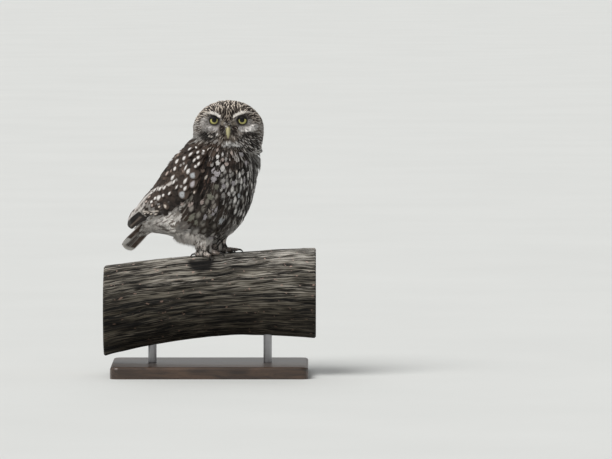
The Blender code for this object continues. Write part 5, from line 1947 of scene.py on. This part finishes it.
def grain(x, around):
    """Height of the wood's relief in mm at a place along and round the branch, both in mm."""
    drift = 5.0 * noise.noise(Vector((x * 0.011, around * 0.012, 3.0)))
    lane = around + drift
    ridges = noise.fractal(Vector((x * 0.01, lane * 0.3, 7.0)), 1.0, 2.0, 4)
    fine = noise.noise(Vector((x * 0.03, lane * 1.1, 1.0)))
    split = 1 - abs(noise.noise(Vector((x * 0.006, lane * 0.085, 11.0)))) * 9
    knots = noise.noise(Vector((x * 0.035, lane * 0.06, 20.0)))
    return 0.75 * ridges + 0.22 * fine - 2.3 * max(split, 0.0) ** 1.5 + 0.5 * knots


HOLLOW_PLACE = Vector((-9.0, -46.0, BRANCH_TOP - 14.0))
HOLLOW_TURN = Matrix.Rotation(math.radians(-6), 3, "Y") @ Matrix.Rotation(math.radians(-24), 3, "X")


def in_hollow(point):
    """Below 1 inside the rotten hollow under the near foot."""
    local = HOLLOW_TURN.inverted() @ (point - HOLLOW_PLACE)
    ragged = 0.16 * noise.noise(point * 0.35)
    return math.hypot(local.x / 22.0, local.y / 9.0, local.z / 9.0) + ragged


def branch_point(x, turn):
    """A point of the bark-less surface in mm; turn is 0 at the back, a quarter at the top, and calm under the feet."""
    twist = turn + 0.0016 * x
    flute = 0.9 * math.sin(5 * twist + 0.7) + 0.7 * math.sin(9 * twist)
    radius = branch_radius(x) + flute * (0.35 + 0.65 * max(0.0, -math.sin(turn))) - 0.5
    calm = 0.35 + 0.65 * float(smooth(abs(turn - math.pi / 2), 0.16, 0.5)) if -45 < x < 60 else 1.0
    end = float(smooth(125 - abs(x), 0.0, 3.0))
    seam = float(smooth(math.pi - abs(turn - math.pi / 2), 0.0, 0.1))
    relief = grain(x, BRANCH_RADIUS * turn) * (0.3 + 0.7 * end) * seam
    radius += min(relief, 0.35) * calm - 0.35 * (1 - calm) - 1.6 * (1 - end) ** 3
    return Vector((x, radius * math.cos(turn), branch_middle(x) + radius * math.sin(turn)))


def carve_hollow(point, x):
    """Pulls a point that lies in the hollow inwards onto the hollow's far wall."""
    middle = Vector((x, 0, branch_middle(x)))
    if in_hollow(point) >= 1:
        return point
    low, high = 0.0, 1.0
    for _ in range(12):
        half = (low + high) / 2
        if in_hollow(point.lerp(middle, half)) < 1:
            low = half
        else:
            high = half
    return point.lerp(middle, high)


print("branch:", 2 * BRANCH_RADIUS, "mm thick in the middle")

# %% Wrap the grid round the branch
def make_branch():
    """The grid's two long edges meet underneath, where the relief has faded out."""
    bm = bmesh.new()
    bmesh.ops.create_grid(bm, x_segments=BRANCH_RINGS, y_segments=BRANCH_SIDES, size=1.0)
    map_layer = bm.loops.layers.uv.new("Grain")
    for v in bm.verts:
        for loop in v.link_loops:
            loop[map_layer].uv = (v.co.x * 1.25, (v.co.y * 0.5 + 0.5) * 3.11)
    for v in bm.verts:
        x = v.co.x * 0.5 * BRANCH_LENGTH
        v.co = carve_hollow(branch_point(x, math.pi / 2 - v.co.y * math.pi), x) * MM
    bmesh.ops.remove_doubles(bm, verts=bm.verts, dist=2e-5)
    close_ends(bm)
    bmesh.ops.recalc_face_normals(bm, faces=bm.faces)
    return smooth_piece(bm, "weathered_branch", "branch_wood", "perch_branch")


def close_ends(bm):
    """Saw cuts: each open rim is extruded towards its middle a few times, and the last small ring is filled."""
    for _ in range(5):
        made = bmesh.ops.extrude_edge_only(bm, edges=[e for e in bm.edges if e.is_boundary])["geom"]
        for v in (g for g in made if isinstance(g, bmesh.types.BMVert)):
            x = math.copysign(0.5 * BRANCH_LENGTH, v.co.x)
            middle = Vector((x, 0, branch_middle(x))) * MM
            v.co = v.co.lerp(middle, 0.3)
            v.co.x = x * MM
    rims = [e for e in bm.edges if e.is_boundary]
    bmesh.ops.holes_fill(bm, edges=rims, sides=0)


branch = make_branch()
print("branch:", len(branch.data.polygons), "faces")

# %% Finish the branch
def branch_finish():
    made, tree = finish("weathered_wood", roughness=0.82, specular_ior_level=0.3)
    unrolled = node(tree, "ShaderNodeUVMap", {"uv_map": "Grain"})
    place = own_place(tree)
    x, y, up = parts_of(place)
    bend = cloudy(stretched(unrolled, (1.2, 1.4, 1)), 1.0, 2.0)
    along, around, _ = parts_of(unrolled)
    lanes = joined(X=along, Y=around + bend * 0.12)
    broad = cloudy(stretched(lanes, (0.6, 14, 1)), 1.6, 5.0, 0.6)
    fine = cloudy(stretched(lanes, (2.5, 60, 1)), 1.6, 4.0, 0.6)
    crack = cloudy(stretched(lanes, (0.6, 14, 1), (3, 1, 0)), 1.6, 3.0, 0.5)
    crack_mask = 1 - (crack - 0.5).math("ABSOLUTE").rise(0.006, 0.04)
    speck = cloudy(stretched(unrolled, (5, 9, 1)), 2.4, 2.0)
    patch = cloudy(stretched(unrolled, (1.0, 4.0, 1), (7, 2, 0)), 1.6, 2.0)
    colour = mix(broad.rise(0.45, 0.55), (0.014, 0.011, 0.009), (0.23, 0.21, 0.175))
    colour = mix(fine.rise(0.48, 0.62) * 0.75, colour, (0.4, 0.375, 0.325))
    colour = darken((1 - fine.rise(0.36, 0.5)) * 0.9, colour, (0.22, 0.2, 0.18))
    colour = darken(patch.rise(0.5, 0.62) * 0.8, colour, (0.32, 0.3, 0.27))
    colour = mix((1 - patch.rise(0.36, 0.46)) * fine.rise(0.47, 0.56) * 0.6, colour, (0.5, 0.47, 0.42))
    colour = darken(crack_mask, colour, (0.1, 0.085, 0.075))
    colour = mix(speck.rise(0.66, 0.69) * 0.85, colour, (0.46, 0.32, 0.27))
    # silvered grain on the branch's top, lightened further as a painted highlight where the light falls from above
    silver_and_top_highlight = up.rise(0.125, 0.142) * fine.rise(0.47, 0.56) * broad.rise(0.42, 0.54)
    colour = mix(silver_and_top_highlight * 0.9, colour, (0.6, 0.57, 0.52))
    # painted shade: the branch darkens from its top towards its underside
    colour = darken(1 - up.rise(0.075, 0.138), colour, (0.29, 0.27, 0.235))
    # painted shade in the rotten hollow under the near foot, darkened almost to black on its near side
    hollow_shade = (((x + 0.0106) / 0.0165) ** 2 + ((up - 0.1338) / 0.012) ** 2) ** 0.5 + (fine - 0.5) * 0.7
    colour = darken((1 - hollow_shade.rise(0.75, 1.1)) * (1 - y.rise(-0.022, -0.014)), colour, (0.05, 0.043, 0.04))
    height = broad * 0.5 + fine * 0.6 - crack_mask * 0.8
    return feed(made, base_color=colour, normal=bumpy(height, 0.7, 0.0012))


def sawn_finish():
    made, tree = finish("sawn_wood", roughness=0.8, specular_ior_level=0.3)
    place = own_place(tree)
    centred = stretched(place, (1, 1, 1), (0, 0, -branch_middle(0) * MM + 0.006))
    _, y, up = parts_of(centred)
    warp = cloudy(centred, 22.0, 3.0)
    ray = (y * y + up * up) ** 0.5 + warp * 0.006
    rings = (ray * 2600).math("SINE") * 0.5 + 0.5
    saw = cloudy(stretched(place, (1, 30, 420)), 3.0, 2.0)
    radial = cloudy(joined(X=up.math("ARCTAN2", y) * 7, Y=ray * 8), 2.0)
    colour = mix(rings * 0.6 + warp * 0.3, (0.3, 0.22, 0.15), (0.17, 0.115, 0.075))
    colour = darken(radial.rise(0.66, 0.72), colour, (0.25, 0.2, 0.16))
    colour = darken(ray.rise(0.043, 0.05) * 0.7, colour, (0.4, 0.36, 0.33))
    return feed(made, base_color=colour, normal=bumpy(saw + rings * 0.3, 0.25, 0.0004))


for material in (branch_finish(), sawn_finish()):
    branch.data.materials.append(material)
for face in branch.data.polygons:
    if abs(face.normal.x) > 0.9 and abs(abs(face.center.x) - 0.5 * BRANCH_LENGTH * MM) < 0.0006:
        face.material_index = 1
        face.use_smooth = False
print("branch finishes:", [m.name for m in branch.data.materials])

# %% [markdown]
# ## The stand
# The base is dark varnished wood and the rods are brushed steel. Both keep the solid shapes and get their detail
# from their finish: grain under a satin coat, and fine rings left by the brush.

# %% Finish the stand
def varnish_finish():
    made, tree = finish("dark_varnish", roughness=0.36, coat_weight=0.35, coat_roughness=0.22)
    place = own_place(tree)
    wander = cloudy(stretched(place, (6, 22, 22)), 1.0, 2.0)
    x, y, up = parts_of(place)
    rings = joined(X=x * 5, Y=y * 90 + wander * 5, Z=up * 90)
    grain_lines = cloudy(rings, 1.3, 5.0, 0.62)
    pores = cloudy(stretched(place, (60, 1500, 1500)), 1.0, 2.0)
    colour = mix(grain_lines.rise(0.32, 0.7), (0.022, 0.014, 0.01), (0.085, 0.05, 0.032))
    colour = darken(pores.rise(0.58, 0.68) * 0.7, colour, (0.35, 0.3, 0.28))
    return feed(made, base_color=colour, roughness=grain_lines * 0.16 + 0.28, normal=bumpy(pores, 0.12, 0.0003))


def steel_finish():
    made, tree = finish("brushed_steel", metallic=1.0)
    place = own_place(tree)
    brush = cloudy(stretched(place, (60, 60, 5200)), 1.0, 3.0)
    smudge = cloudy(place, 60.0)
    colour = mix(brush, (0.34, 0.34, 0.35), (0.56, 0.56, 0.57))
    return feed(made, base_color=colour, roughness=brush * 0.18 + smudge * 0.12 + 0.2,
                normal=bumpy(brush, 0.15, 0.0002))


refinish("stand_base", varnish_finish())
STEEL = steel_finish()
for name in ("stand_rod_left", "stand_rod_right"):
    refinish(name, STEEL)
print("stand finished")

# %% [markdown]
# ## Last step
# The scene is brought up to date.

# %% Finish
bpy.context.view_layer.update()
